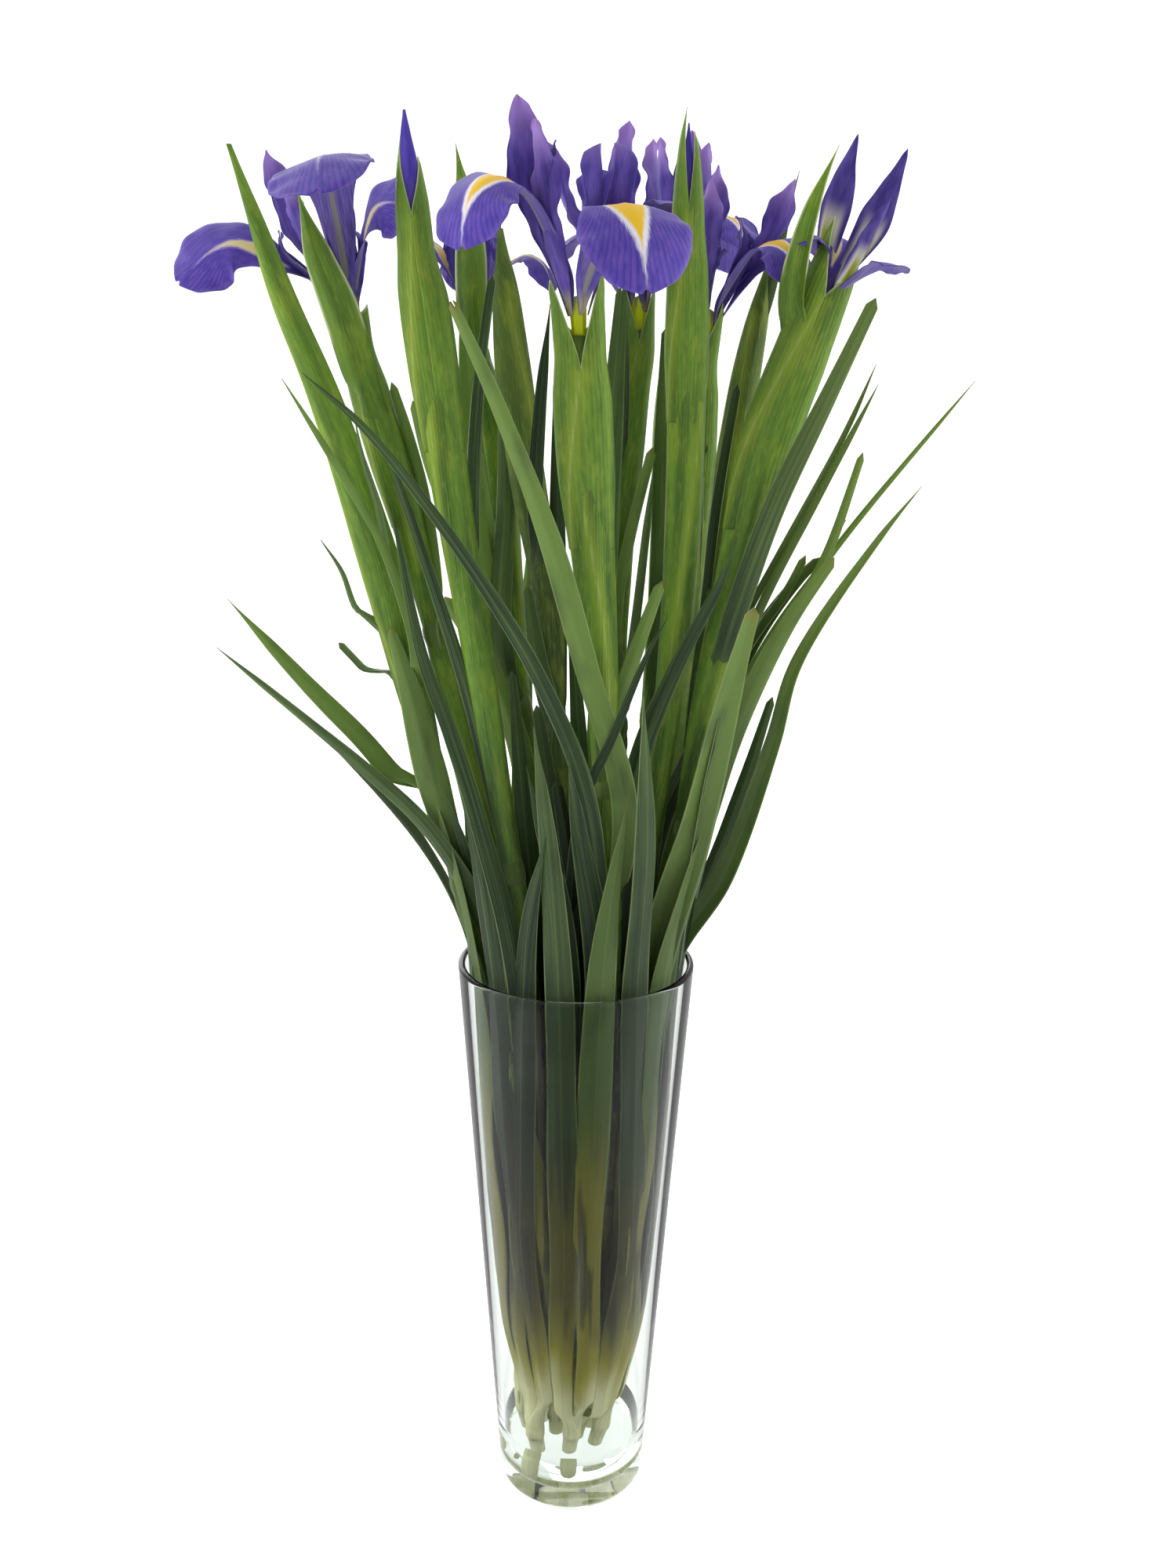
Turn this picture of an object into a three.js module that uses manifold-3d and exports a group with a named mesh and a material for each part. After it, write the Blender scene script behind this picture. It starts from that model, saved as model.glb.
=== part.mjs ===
// Twelve cut irises in a conical glass vase, in millimetres with +Z up.
// The origin is at the middle of the vase's underside, and the front faces -Y.
import * as THREE from 'three';
import { mergeVertices } from 'three/addons/utils/BufferGeometryUtils.js';
import Module from 'manifold-3d';

const wasm = await Module();
wasm.setup();

// Vase
const VASE_HEIGHT = 300;
const RIM_RADIUS = 60;
const FOOT_RADIUS = 39;
const WALL = 2.8;
const FLOOR = 10;
const HEEL_RADIUS = 5;
const RIM_BEAD = 1.8;
const VASE_SIDES = 28;

// Water and what stands in it
const GAP = 0.3;
const WATER_DEPTH = 22;
const CUT_HEIGHT = FLOOR + GAP;
const STEM_RADIUS = [[CUT_HEIGHT, 4.2], [285, 6], [400, 5.4], [520, 4.6]];
const STEM_SIDES = 8;
const STEM_STEP = 60;

// Thin pieces
const LEAF_THICKNESS = 0.8;
const PETAL_THICKNESS = 0.8;
const FINEST = 0.25;
const LEAF_STEP = 46;
const LEAF_FOLD = 0.14;
const VALVE_FOLD = 0.32;
const SUNK_WIDTH = 5;

// Flower, measured along each petal from the top of its tube
const TUBE_HEIGHT = 16;
const TUBE_RADIUS = { foot: 3, mouth: 4.4 };
const HAFT_LENGTH = 40;
const FALL = {
  bend: [[0, 62], [14, 52], [48, 48], [62, 18], [74, -30], [90, -66], [108, -78]],
  width: [[0, 4], [20, 8], [44, 14], [56, 25], [72, 43], [88, 47], [101, 34], [108, 12]],
  stations: [0, 28, 56, 72, 90, 108],
  columns: 5,
  cup: 0.1,
  wave: 2.4,
};
const STANDARD = {
  bend: [[0, 74], [22, 70], [50, 84], [84, 92]],
  width: [[0, 3], [26, 7], [48, 15], [66, 20], [78, 13], [84, 4]],
  stations: [0, 28, 62, 84],
  columns: 3,
  cup: -0.2,
  wave: 0,
};
const STYLE_ARM = {
  bend: [[0, 80], [14, 68], [46, 60], [56, 80], [72, 118]],
  width: [[0, 3], [22, 10], [48, 15], [60, 17], [72, 6]],
  stations: [0, 30, 56, 72],
  columns: 3,
  cup: 0.22,
  wave: 0,
};

const COLOURS = {
  glass: '#dfe6e2',
  water: '#e4edea',
  leaf: '#5f8f5a',
  dark_leaf: '#3f6b4d',
  violet: '#5a4aa0',
};

// Each stem has its route from the cut up, then its sheath as [height, half width, half depth],
// which ends flat under a flower or in a point. Each leaf has its route from the tip down to the
// height where it joins the stem, its widths along the route, and the turn of its face in degrees.
const STEMS = {
  far_left: {
    route: [[-26, 4, CUT_HEIGHT], [-41, -6, 285], [-53, -9, 327], [-77, -14, 431], [-95, -19, 508],
      [-115, -25, 575], [-131, -27, 616], [-143, -30, 654], [-150, -34, 677]],
    sheath: [[400, 5.4, 5], [440, 8, 5], [500, 10, 5], [560, 8, 4.5], [616, 6, 3.5], [654, 3, 2], [677, 0.8, 0.8]],
    leaves: [
      { joins: 205, turn: 20, widths: [2, 6, 9, 12, 14], route: [[-169, -23, 461], [-126, -23, 425], [-102, -22, 404],
        [-74, -22, 377], [-54, -22, 347], [-37, -22, 305]] },
      { joins: 378, turn: -20, widths: [1.5, 6, 9, 10], route: [[-167, -8, 482], [-127, -11, 439], [-105, -13, 417],
        [-84, -14, 393]] },
      { joins: 70, turn: 30, widths: [4, 12, 13, 11], route: [[-43, -22, 284], [-40, -24, 220], [-33, -18, 140]] },
      { joins: 440, turn: 10, widths: [3.4, 3.6, 4], route: [[-117, 4, 460], [-105, -2, 449], [-94, -8, 438]] },
      { joins: 455, turn: 30, widths: [2, 3, 4], route: [[-122, -6, 510], [-112, -10, 496], [-104, -14, 477]] },
      { joins: 425, turn: -30, widths: [1.8, 4, 4.6], route: [[-126, -60, 581], [-103, -48, 540], [-89, -42, 513],
        [-80, -36, 484], [-76, -30, 464]] },
      { joins: 462, turn: 30, widths: [2.2, 4, 5.2], route: [[-100, -34, 566], [-97, -32, 548], [-91, -30, 526]] },
      { joins: 330, turn: 0, widths: [3.6, 12, 16, 13], route: [[-87, -28, 472], [-79, -26, 443], [-72, -23, 410]] },
    ],
  },
  left: {
    route: [[-21, -5, CUT_HEIGHT], [-24, -14, 289], [-42, -12, 367], [-62, -11, 440], [-81, -9, 519], [-98, 2, 575],
      [-106, 8, 606]],
    sheath: [[470, 5, 4.6], [530, 8, 5], [575, 8, 5.5], [606, 6.5, 5]],
    leaves: [
      { joins: 540, turn: 0, fold: VALVE_FOLD, widths: [2, 12, 17, 16, 9], route: [[-126, -14, 663], [-118, -17, 638],
        [-108, -15, 612], [-97, -12, 572]] },
      { joins: 455, turn: 20, widths: [3.6, 7, 8.5], route: [[-88, 0, 582], [-79, -3, 553], [-72, -7, 522]] },
      { joins: 240, turn: 20, widths: [2, 6, 9, 9], route: [[-64, -26, 396], [-51, -21, 354], [-41, -18, 322]] },
    ],
  },
  left_bud: {
    route: [[-19, -17, CUT_HEIGHT], [-25, -30, 300], [-33, -34, 373], [-44, -38, 446], [-58, -42, 541], [-65, -44, 596],
      [-71, -44, 641]],
    sheath: [[400, 5.6, 5.2], [480, 7, 5.2], [560, 9, 5.5], [610, 9.5, 5.5], [641, 7, 4.5]],
    leaves: [
      { joins: 612, turn: 0, fold: VALVE_FOLD, widths: [1.5, 6, 8], route: [[-84, -44, 679], [-82, -45, 655],
        [-77, -45, 632]] },
      { joins: 606, turn: 0, fold: VALVE_FOLD, widths: [1.5, 6, 8], route: [[-66, -45, 674], [-64, -45, 650],
        [-62, -45, 628]] },
      { joins: 150, turn: -20, widths: [2.2, 7, 9.5, 12], route: [[-82, -50, 525], [-70, -48, 461], [-58, -47, 426],
        [-45, -46, 382], [-28, -44, 306]] },
      { joins: 345, turn: 10, widths: [3, 6, 7], route: [[-82, -42, 543], [-69, -41, 504], [-50, -39, 441]] },
      { joins: 505, turn: 0, widths: [3.4, 5, 5], route: [[-73, -44, 573], [-67, -43, 549]] },
      { joins: 475, turn: 10, widths: [3.6, 5.5, 6.6], route: [[-40, -16, 628], [-45, -21, 591], [-48, -26, 550]] },
    ],
  },
  small: {
    route: [[-18, 9, CUT_HEIGHT], [-18, 12, 299], [-23, 16, 363], [-35, 22, 486], [-40, 28, 535], [-50, 33, 599]],
    sheath: [[440, 5.2, 5], [545, 8, 5], [599, 6.5, 4.5]],
    leaves: [
      { joins: 110, turn: 0, widths: [3, 10, 13, 13, 12], route: [[-32, -12, 450], [-26, -10, 380], [-20, -4, 310],
        [-18, 1, 220]] },
      { joins: 560, turn: 0, fold: VALVE_FOLD, widths: [2, 11, 15, 14, 9], route: [[-59, 19, 688], [-53, 19, 649],
        [-52, 19, 612], [-49, 22, 580]] },
      { joins: 350, turn: 20, widths: [8, 11, 13], route: [[-65, 4, 483], [-46, 6, 453], [-30, 9, 410]] },
      { joins: 415, turn: -20, widths: [6.6, 9, 10], route: [[-50, 8, 537], [-48, 10, 510], [-41, 14, 460]] },
      { joins: 407, turn: 10, widths: [4.2, 8, 11], route: [[-40, 14, 623], [-37, 13, 593], [-36, 12, 528],
        [-38, 11, 465]] },
      { joins: 130, turn: 0, widths: [8.8, 12, 13, 12], route: [[-15, 1, 338], [-17, 5, 310], [-19, 4, 220]] },
    ],
  },
  closed_middle: {
    route: [[-9, -1, CUT_HEIGHT], [-5, -4, 290], [-8, -3, 361], [-16, -1, 485], [-25, 2, 536], [-32, 3, 586],
      [-38, 6, 650]],
    sheath: [[430, 5.2, 5], [530, 8, 5], [586, 8.4, 5], [622, 6, 4], [650, 0.8, 0.8]],
    leaves: [
      { joins: 395, turn: 20, widths: [3.7, 9, 12], route: [[-25, -8, 491], [-19, -7, 452], [-10, -6, 415]] },
      { joins: 250, turn: 0, widths: [4.6, 8, 10, 9], route: [[-20, -15, 434], [-14, -13, 395], [-11, -11, 350]] },
      { joins: 110, turn: 10, widths: [1.5, 8, 14, 16, 14], route: [[-23, -56, 414], [-16, -50, 380], [-8, -44, 350],
        [-4, -41, 305], [-9, -25, 200]] },
      { joins: 480, turn: -10, widths: [1.2, 5, 7, 8], route: [[-14, -24, 617], [-19, -17, 568], [-21, -13, 525]] },
      { joins: 289, turn: 0, widths: [1.9, 4.5, 6], route: [[39, -64, 483], [31, -60, 467], [16, -55, 428],
        [3, -49, 395]] },
      { joins: 220, turn: 0, widths: [5, 9, 10, 9], route: [[-10, -32, 401], [-5, -28, 372], [1, -24, 335]] },
    ],
  },
  main: {
    route: [[-1, -17, CUT_HEIGHT], [16, -32, 302], [14, -35, 370], [10, -41, 458], [3, -47, 538], [-1, -51, 600]],
    sheath: [[400, 5.6, 5], [470, 8, 5.2], [510, 11, 5.6], [545, 13.5, 6], [580, 12, 6], [600, 7.5, 5.2]],
    leaves: [
      { joins: 560, turn: 25, fold: VALVE_FOLD, widths: [2, 10, 13], route: [[-13, -50, 621], [-9, -50, 600]] },
      { joins: 556, turn: -25, fold: VALVE_FOLD, widths: [2, 10, 13], route: [[11, -50, 619], [8, -50, 598]] },
      { joins: 290, turn: 0, widths: [2.2, 6, 8.5], route: [[-115, -72, 583], [-90, -70, 561], [-62, -67, 526],
        [-38, -64, 491], [-17, -62, 455], [4, -57, 402]] },
      { joins: 325, turn: 10, widths: [4, 7.5, 11, 11, 12], route: [[-53, -74, 612], [-34, -66, 570], [-13, -59, 516],
        [4, -55, 458], [22, -48, 393]] },
      { joins: 36, turn: -10, widths: [3, 9, 11, 10], route: [[-30, -42, 262], [-20, -40, 210], [-9, -33, 130]] },
      { joins: 465, turn: 20, widths: [2.9, 6, 7], route: [[-12, -52, 577], [-9, -49, 545], [-3, -46, 513]] },
      { joins: 388, turn: 0, widths: [4.5, 7, 7], route: [[37, -40, 496], [27, -39, 467], [16, -38, 430]] },
      { joins: 80, turn: -10, widths: [2.3, 14, 17, 15], route: [[-4, -66, 420], [1, -55, 384], [12, -45, 307],
        [9, -37, 190]] },
    ],
  },
  back: {
    route: [[-2, 14, CUT_HEIGHT], [18, 22, 284], [19, 25, 353], [19, 31, 482], [22, 32, 560], [27, 34, 608]],
    sheath: [[460, 5, 4.8], [560, 7.5, 5], [608, 6.5, 4.5]],
    leaves: [
      { joins: 576, turn: 25, fold: VALVE_FOLD, widths: [1.5, 7, 8], route: [[17, 34, 628], [20, 34, 606]] },
      { joins: 574, turn: -25, fold: VALVE_FOLD, widths: [1.5, 7, 8], route: [[38, 34, 626], [35, 34, 604]] },
      { joins: 50, turn: 0, widths: [3, 11, 13, 14, 12], route: [[-4, 6, 470], [1, 8, 400], [3, 10, 320],
        [1, 10, 200]] },
      { joins: 405, turn: 10, widths: [5, 10, 12.5, 12], route: [[18, 8, 626], [15, 10, 577], [12, 14, 500],
        [11, 18, 440]] },
      { joins: 480, turn: -20, widths: [2.8, 5, 6], route: [[20, 20, 623], [20, 24, 570], [18, 28, 518]] },
      { joins: 430, turn: 0, widths: [4.4, 5.5, 6], route: [[34, 14, 554], [24, 19, 512], [18, 23, 475]] },
      { joins: 395, turn: 20, widths: [2.9, 4.5, 5.3], route: [[34, 4, 544], [32, 10, 519], [27, 17, 465]] },
    ],
  },
  behind_bud: {
    route: [[8, 20, CUT_HEIGHT], [30, 30, 284], [34, 36, 350], [40, 48, 485], [45, 68, 570], [50, 80, 616]],
    sheath: [[470, 5, 4.8], [570, 7, 4.8], [616, 6, 4.5]],
    leaves: [
      { joins: 584, turn: 25, fold: VALVE_FOLD, widths: [1.5, 7, 8], route: [[40, 80, 636], [43, 79, 614]] },
      { joins: 582, turn: -25, fold: VALVE_FOLD, widths: [1.5, 7, 8], route: [[61, 80, 634], [58, 79, 612]] },
      { joins: 405, turn: 0, widths: [5, 8, 9], route: [[40, 26, 610], [39, 29, 560], [39, 32, 493]] },
      { joins: 501, turn: 0, widths: [2.1, 3, 3.3], route: [[38, 38, 607], [39, 44, 583], [41, 50, 550]] },
    ],
  },
  right_bud: {
    route: [[3, -5, CUT_HEIGHT], [28, -12, 294], [41, -13, 416], [47, -14, 509], [47, -14, 602], [46, -14, 655]],
    sheath: [[400, 5.4, 5], [515, 8, 5.2], [600, 8.5, 5.5], [655, 6.5, 4.5]],
    leaves: [
      { joins: 625, turn: 0, fold: VALVE_FOLD, widths: [1.5, 5, 7, 7], route: [[42, -14, 696], [39, -14, 675],
        [40, -14, 650]] },
      { joins: 622, turn: 0, fold: VALVE_FOLD, widths: [1.5, 5, 7, 7], route: [[49, -14, 690], [53, -14, 672],
        [53, -14, 648]] },
      { joins: 215, turn: 0, widths: [2.2, 7, 11, 14, 13], route: [[71, -34, 516], [65, -32, 497], [46, -29, 457],
        [31, -26, 417], [24, -24, 375]] },
      { joins: 160, turn: 0, widths: [2.4, 9, 12, 12], route: [[51, -26, 358], [40, -23, 327], [33, -20, 301]] },
    ],
  },
  right: {
    route: [[11, 5, CUT_HEIGHT], [37, 8, 286], [47, 11, 406], [54, 13, 507], [57, 17, 601]],
    sheath: [[440, 5.2, 5], [555, 7, 4.8], [601, 6, 4.5]],
    leaves: [
      { joins: 570, turn: 25, fold: VALVE_FOLD, widths: [1.5, 7, 8], route: [[47, 18, 621], [50, 17, 600]] },
      { joins: 568, turn: -25, fold: VALVE_FOLD, widths: [1.5, 7, 8], route: [[68, 18, 619], [65, 17, 598]] },
      { joins: 440, turn: 0, widths: [4.4, 5.2, 5.3], route: [[56, 6, 542], [56, 8, 511], [54, 10, 473]] },
      { joins: 520, turn: 0, widths: [2.9, 3.3, 3.5], route: [[60, 8, 556], [56, 11, 540]] },
      { joins: 359, turn: 20, widths: [1.2, 3, 4.6], route: [[185, 14, 586], [139, 11, 529], [119, 10, 502],
        [94, 8, 466], [71, 7, 419]] },
      { joins: 180, turn: 0, widths: [5.4, 11, 14, 14], route: [[63, -10, 432], [54, -8, 408], [40, -5, 370],
        [33, -2, 332]] },
    ],
  },
  opening: {
    route: [[14, -10, CUT_HEIGHT], [44, -16, 296], [57, -18, 413], [71, -19, 488], [84, -20, 555], [103, -12, 608]],
    sheath: [[400, 5.6, 5], [455, 8, 5.2], [510, 10, 5.4], [560, 12, 5.8], [608, 12, 6]],
    leaves: [
      { joins: 575, turn: 40, fold: VALVE_FOLD, widths: [2, 8, 14, 15], route: [[109, -26, 681], [99, -26, 657],
        [93, -23, 632], [91, -19, 606]] },
      { joins: 430, turn: 0, widths: [5, 9, 11], route: [[122, -60, 616], [106, -50, 577], [86, -40, 529],
        [73, -30, 485]] },
      { joins: 395, turn: 20, widths: [2.2, 3.6, 4.5], route: [[133, -20, 583], [108, -21, 532], [83, -22, 480]] },
      { joins: 365, turn: 0, widths: [3.3, 5, 6], route: [[130, -8, 553], [114, -15, 505], [96, -18, 472]] },
      { joins: 320, turn: 0, widths: [4.5, 10, 13], route: [[115, -34, 507], [97, -32, 479], [81, -30, 446],
        [68, -27, 410]] },
      { joins: 205, turn: 20, widths: [1.5, 5, 8, 11, 10], route: [[153, -31, 539], [135, -28, 514], [102, -20, 456],
        [93, -17, 417], [72, -14, 349], [47, -9, 301]] },
      { joins: 120, turn: -10, widths: [6, 15, 19, 19, 17], route: [[76, -67, 488], [69, -58, 454], [57, -40, 384],
        [38, -27, 301]] },
    ],
  },
  closed_right: {
    route: [[19, 14, CUT_HEIGHT], [44, 20, 286], [56, 25, 411], [68, 36, 502], [80, 46, 588], [90, 50, 642]],
    sheath: [[420, 5.2, 5], [540, 8, 5], [590, 7, 4.5], [620, 5, 3.5], [642, 0.8, 0.8]],
    leaves: [
      { joins: 60, turn: 0, widths: [3, 9, 8, 8], route: [[84, 16, 448], [64, 21, 375], [43, 27, 300],
        [33, 23, 160]] },
      { joins: 560, turn: 0, widths: [1.2, 4.5, 6, 6], route: [[103, 50, 684], [97, 50, 660], [91, 48, 630],
        [81, 44, 595]] },
      { joins: 435, turn: 0, widths: [4.3, 5, 5.2], route: [[74, 22, 584], [71, 25, 562], [66, 28, 522]] },
      { joins: 425, turn: 0, widths: [2.1, 3.2, 3.7], route: [[137, 8, 593], [125, 12, 562], [99, 20, 507]] },
      { joins: 359, turn: 0, widths: [4.5, 8, 9], route: [[117, 14, 503], [107, 17, 492], [84, 24, 455]] },
      { joins: 400, turn: 0, widths: [3.7, 4.5, 4.5], route: [[109, 12, 504], [101, 16, 486], [86, 20, 462]] },
      { joins: 290, turn: 0, widths: [3.8, 7, 7], route: [[94, -2, 437], [81, 3, 388], [62, 11, 330]] },
    ],
  },
};

// An open flower stands on its stem's flat top. A petal is [direction from +X, rise, size, droop, roll]
// in degrees, with its size as a share of full size. A style arm lies over each fall.
const FLOWERS = {
  left: {
    lean: [6, 150],
    arms: 0.75,
    falls: [[186, -18, 0.8, -60, -65], [-88, 2, 1, -27], [-40, 14, 0.62, -48, 60]],
    standards: [[171, -11, 0.9, 0, -45], [100, 4, 0.7], [213, -13, 0.7]],
  },
  small: {
    lean: [4, 90],
    falls: [[150, 8, 0.6, -110], [-11, 14, 0.58, 20, 25], [98, 10, 0.75]],
    standards: [[128, -12, 0.68], [21, 4, 0.64], [253, -2, 0.6]],
  },
  main: {
    lean: [4, 190],
    falls: [[214, 7, 0.95, 15, -28], [-65, -18, 1, -11], [62, 0, 0.85]],
    standards: [[173, -4, 1.02, 0, -50], [228, -3, 0.85], [-10, -8, 0.85, 0, 50]],
  },
  back: {
    lean: [6, 100],
    falls: [[165, 10, 0.66], [-50, 24, 0.65, -30], [25, 30, 0.5]],
    standards: [[190, -18, 1.05, 0, -40], [130, 4, 1], [-25, 8, 0.9]],
  },
  behind_bud: {
    lean: [4, 60],
    falls: [[160, 6, 0.62], [-50, 14, 0.66, 10], [60, 6, 0.9]],
    standards: [[208, 0, 0.9], [86, 16, 0.95], [-35, 6, 0.88]],
  },
  right: {
    lean: [8, 20],
    falls: [[-30, 12, 0.68, 20, 15], [22, 8, 0.62, -50], [130, 26, 0.5]],
    standards: [[2, -10, 0.86, 0, 50], [115, 4, 0.85], [235, 0, 0.72]],
  },
  opening: {
    lean: [20, 5],
    arms: 0,
    falls: [[-35, 4, 0.4, -80], [100, 28, 0.5], [196, 28, 0.4]],
    standards: [[20, -2, 0.82, 0, 50], [143, 0, 0.83, 0, -40], [-40, -1, 0.56]],
  },
};

// A furled bud is a twisted cone between the two green tips of its stem.
const BUDS = {
  left_bud: { lean: [-4, 0], height: 48, radius: 4.6 },
  right_bud: { lean: [-1, 0], height: 36, radius: 2.6 },
};

function interpolate(rows, at) {
  if (at <= rows[0][0]) return rows[0][1];
  for (let i = 1; i < rows.length; i += 1) {
    const [from, before] = rows[i - 1];
    const [to, after] = rows[i];
    if (at <= to) return before + ((after - before) * (at - from)) / (to - from);
  }
  return rows[rows.length - 1][1];
}

function evenRows(values) {
  return values.map((value, i) => [i / (values.length - 1), value]);
}

function curveThrough(route) {
  const points = route.map((point) => new THREE.Vector3(...point));
  return new THREE.CatmullRomCurve3(points, false, 'centripetal');
}

function geometryOf(vertices, triangles) {
  const geometry = new THREE.BufferGeometry();
  const positions = vertices.flatMap((vertex) => [vertex.x, vertex.y, vertex.z]);
  geometry.setAttribute('position', new THREE.Float32BufferAttribute(positions, 3));
  geometry.setIndex(triangles.flat());
  return geometry;
}

function solidOf(geometry) {
  const bare = geometry.clone();
  bare.deleteAttribute('normal');
  bare.deleteAttribute('uv');
  const merged = mergeVertices(bare, 1e-4);
  return new wasm.Manifold(new wasm.Mesh({
    numProp: 3,
    vertProperties: new Float32Array(merged.attributes.position.array),
    triVerts: new Uint32Array(merged.index.array),
  }));
}

function joined(geometries) {
  let solid = solidOf(geometries[0]);
  for (const geometry of geometries.slice(1)) solid = solid.add(solidOf(geometry));
  return solid;
}

// The largest body alone: loose scraps are dropped and sealed hollows filled.
function geometryFrom(solid) {
  const [largest] = solid.decompose().sort((a, b) => b.volume() - a.volume());
  const { vertProperties, triVerts } = largest.getMesh();
  const geometry = new THREE.BufferGeometry();
  geometry.setAttribute('position', new THREE.Float32BufferAttribute(vertProperties, 3));
  geometry.setIndex(Array.from(triVerts));
  geometry.computeVertexNormals();
  return geometry;
}

// A closed solid through rings of equal count, each counter-clockwise seen from the last ring.
function loft(rings) {
  const sides = rings[0].length;
  const vertices = rings.flat();
  const triangles = [];
  for (let r = 0; r < rings.length - 1; r += 1) {
    for (let i = 0; i < sides; i += 1) {
      const a = r * sides + i;
      const b = r * sides + ((i + 1) % sides);
      triangles.push([a, b, b + sides], [a, b + sides, a + sides]);
    }
  }
  const last = (rings.length - 1) * sides;
  for (let i = 1; i < sides - 1; i += 1) {
    triangles.push([0, i + 1, i], [last, last + i, last + i + 1]);
  }
  return geometryOf(vertices, triangles);
}

// A thin closed solid round a grid of points, split into triangles alike on both faces.
function slab(rows, thickness) {
  const count = rows.length;
  const width = rows[0].length;
  const vertices = [];
  for (const side of [0.5, -0.5]) {
    rows.forEach((row, r) => row.forEach((point, c) => {
      const along = rows[Math.min(r + 1, count - 1)][c].clone().sub(rows[Math.max(r - 1, 0)][c]);
      const across = row[Math.min(c + 1, width - 1)].clone().sub(row[Math.max(c - 1, 0)]);
      const normal = across.cross(along).normalize();
      vertices.push(point.clone().addScaledVector(normal, side * thickness));
    }));
  }
  const back = count * width;
  const triangles = [];
  const wall = (a, b) => triangles.push([b, a, a + back], [b, a + back, b + back]);
  for (let r = 0; r < count - 1; r += 1) {
    for (let c = 0; c < width - 1; c += 1) {
      const a = r * width + c;
      const b = a + width;
      triangles.push([a, a + 1, b + 1], [a, b + 1, b]);
      triangles.push([a + back, b + 1 + back, a + 1 + back], [a + back, b + back, b + 1 + back]);
    }
  }
  for (let c = 0; c < width - 1; c += 1) {
    wall(c, c + 1);
    wall((count - 1) * width + c + 1, (count - 1) * width + c);
  }
  for (let r = 0; r < count - 1; r += 1) {
    wall((r + 1) * width, r * width);
    wall(r * width + width - 1, (r + 1) * width + width - 1);
  }
  return geometryOf(vertices, triangles);
}

function vase() {
  const outside = (height) => FOOT_RADIUS + ((RIM_RADIUS - FOOT_RADIUS) * height) / VASE_HEIGHT;
  const profile = [new THREE.Vector2(0, 0)];
  for (let i = 0; i <= 4; i += 1) {
    const turn = (i / 4) * (Math.PI / 2);
    const radius = outside(HEEL_RADIUS) - HEEL_RADIUS + HEEL_RADIUS * Math.sin(turn);
    profile.push(new THREE.Vector2(radius, HEEL_RADIUS * (1 - Math.cos(turn))));
  }
  const beadMiddle = RIM_RADIUS - RIM_BEAD;
  for (let i = 0; i <= 6; i += 1) {
    const turn = (i / 6) * Math.PI;
    const height = VASE_HEIGHT - RIM_BEAD + RIM_BEAD * Math.sin(turn);
    profile.push(new THREE.Vector2(beadMiddle + RIM_BEAD * Math.cos(turn), height));
  }
  profile.push(new THREE.Vector2(outside(FLOOR + 8) - WALL, FLOOR + 8));
  profile.push(new THREE.Vector2(outside(FLOOR) - WALL - 2, FLOOR + 2));
  profile.push(new THREE.Vector2(outside(FLOOR) - WALL - 7, FLOOR));
  profile.push(new THREE.Vector2(0, FLOOR));
  const turned = new THREE.LatheGeometry(profile, VASE_SIDES);
  turned.rotateX(Math.PI / 2);
  return geometryFrom(solidOf(turned));
}

function ellipse(centre, across, deep, sides) {
  const ring = [];
  for (let i = 0; i < sides; i += 1) {
    const turn = (i / sides) * Math.PI * 2;
    ring.push(new THREE.Vector3(centre.x + across * Math.cos(turn), centre.y + deep * Math.sin(turn), centre.z));
  }
  return ring;
}

function placeAt(route, height) {
  const points = curveThrough(route).getPoints(160);
  const found = points.findIndex((point) => point.z >= height);
  const above = found < 0 ? points.length - 1 : Math.max(1, found);
  const [low, high] = [points[above - 1], points[above]];
  return low.clone().lerp(high, (height - low.z) / (high.z - low.z));
}

function stemSolid({ route, sheath }) {
  const cut = route[0][2];
  const sheathStart = sheath[0][0];
  const rings = [];
  const steps = Math.round((sheathStart - cut) / STEM_STEP);
  for (let i = 0; i < steps; i += 1) {
    const height = cut + ((sheathStart - cut) * i) / steps;
    const radius = interpolate(STEM_RADIUS, height);
    rings.push(ellipse(placeAt(route, height), radius, radius, STEM_SIDES));
  }
  for (const [height, across, deep] of sheath) {
    const centre = placeAt(route, Math.min(height, route[route.length - 1][2]));
    rings.push(ellipse(centre, across, deep, STEM_SIDES));
  }
  return loft(rings);
}

function leafSolid(leaf, stemRoute) {
  const foot = placeAt(stemRoute, leaf.joins);
  const curve = curveThrough([...leaf.route, [foot.x, foot.y, foot.z]]);
  const steps = Math.max(3, Math.round(curve.getLength() / LEAF_STEP));
  const widths = evenRows([...leaf.widths, SUNK_WIDTH]);
  const middle = curve.getPointAt(0.4);
  const rows = [];
  for (let i = 0; i <= steps; i += 1) {
    const share = i / steps;
    const centre = curve.getPointAt(share);
    const along = curve.getTangentAt(share);
    const side = along.clone().cross(new THREE.Vector3(0, 1, 0)).normalize();
    side.applyAxisAngle(along, THREE.MathUtils.degToRad(leaf.turn));
    const face = along.clone().cross(side);
    const outward = Math.sign(face.dot(middle.clone().sub(foot))) || 1;
    const width = interpolate(widths, share);
    const keel = face.multiplyScalar(outward * (leaf.fold ?? LEAF_FOLD) * width);
    rows.push([
      centre.clone().addScaledVector(side, -width / 2),
      centre.clone().add(keel),
      centre.clone().addScaledVector(side, width / 2),
    ]);
  }
  return slab(rows, LEAF_THICKNESS);
}

// The matrix that leans a flower by an angle towards a direction, with its foot at the seat.
function leaning(seat, [angle, direction]) {
  const towards = THREE.MathUtils.degToRad(direction);
  const axis = new THREE.Vector3(-Math.sin(towards), Math.cos(towards), 0);
  const turn = new THREE.Matrix4().makeRotationAxis(axis, THREE.MathUtils.degToRad(angle));
  return new THREE.Matrix4().makeTranslation(seat.x, seat.y, seat.z).multiply(turn);
}

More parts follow.
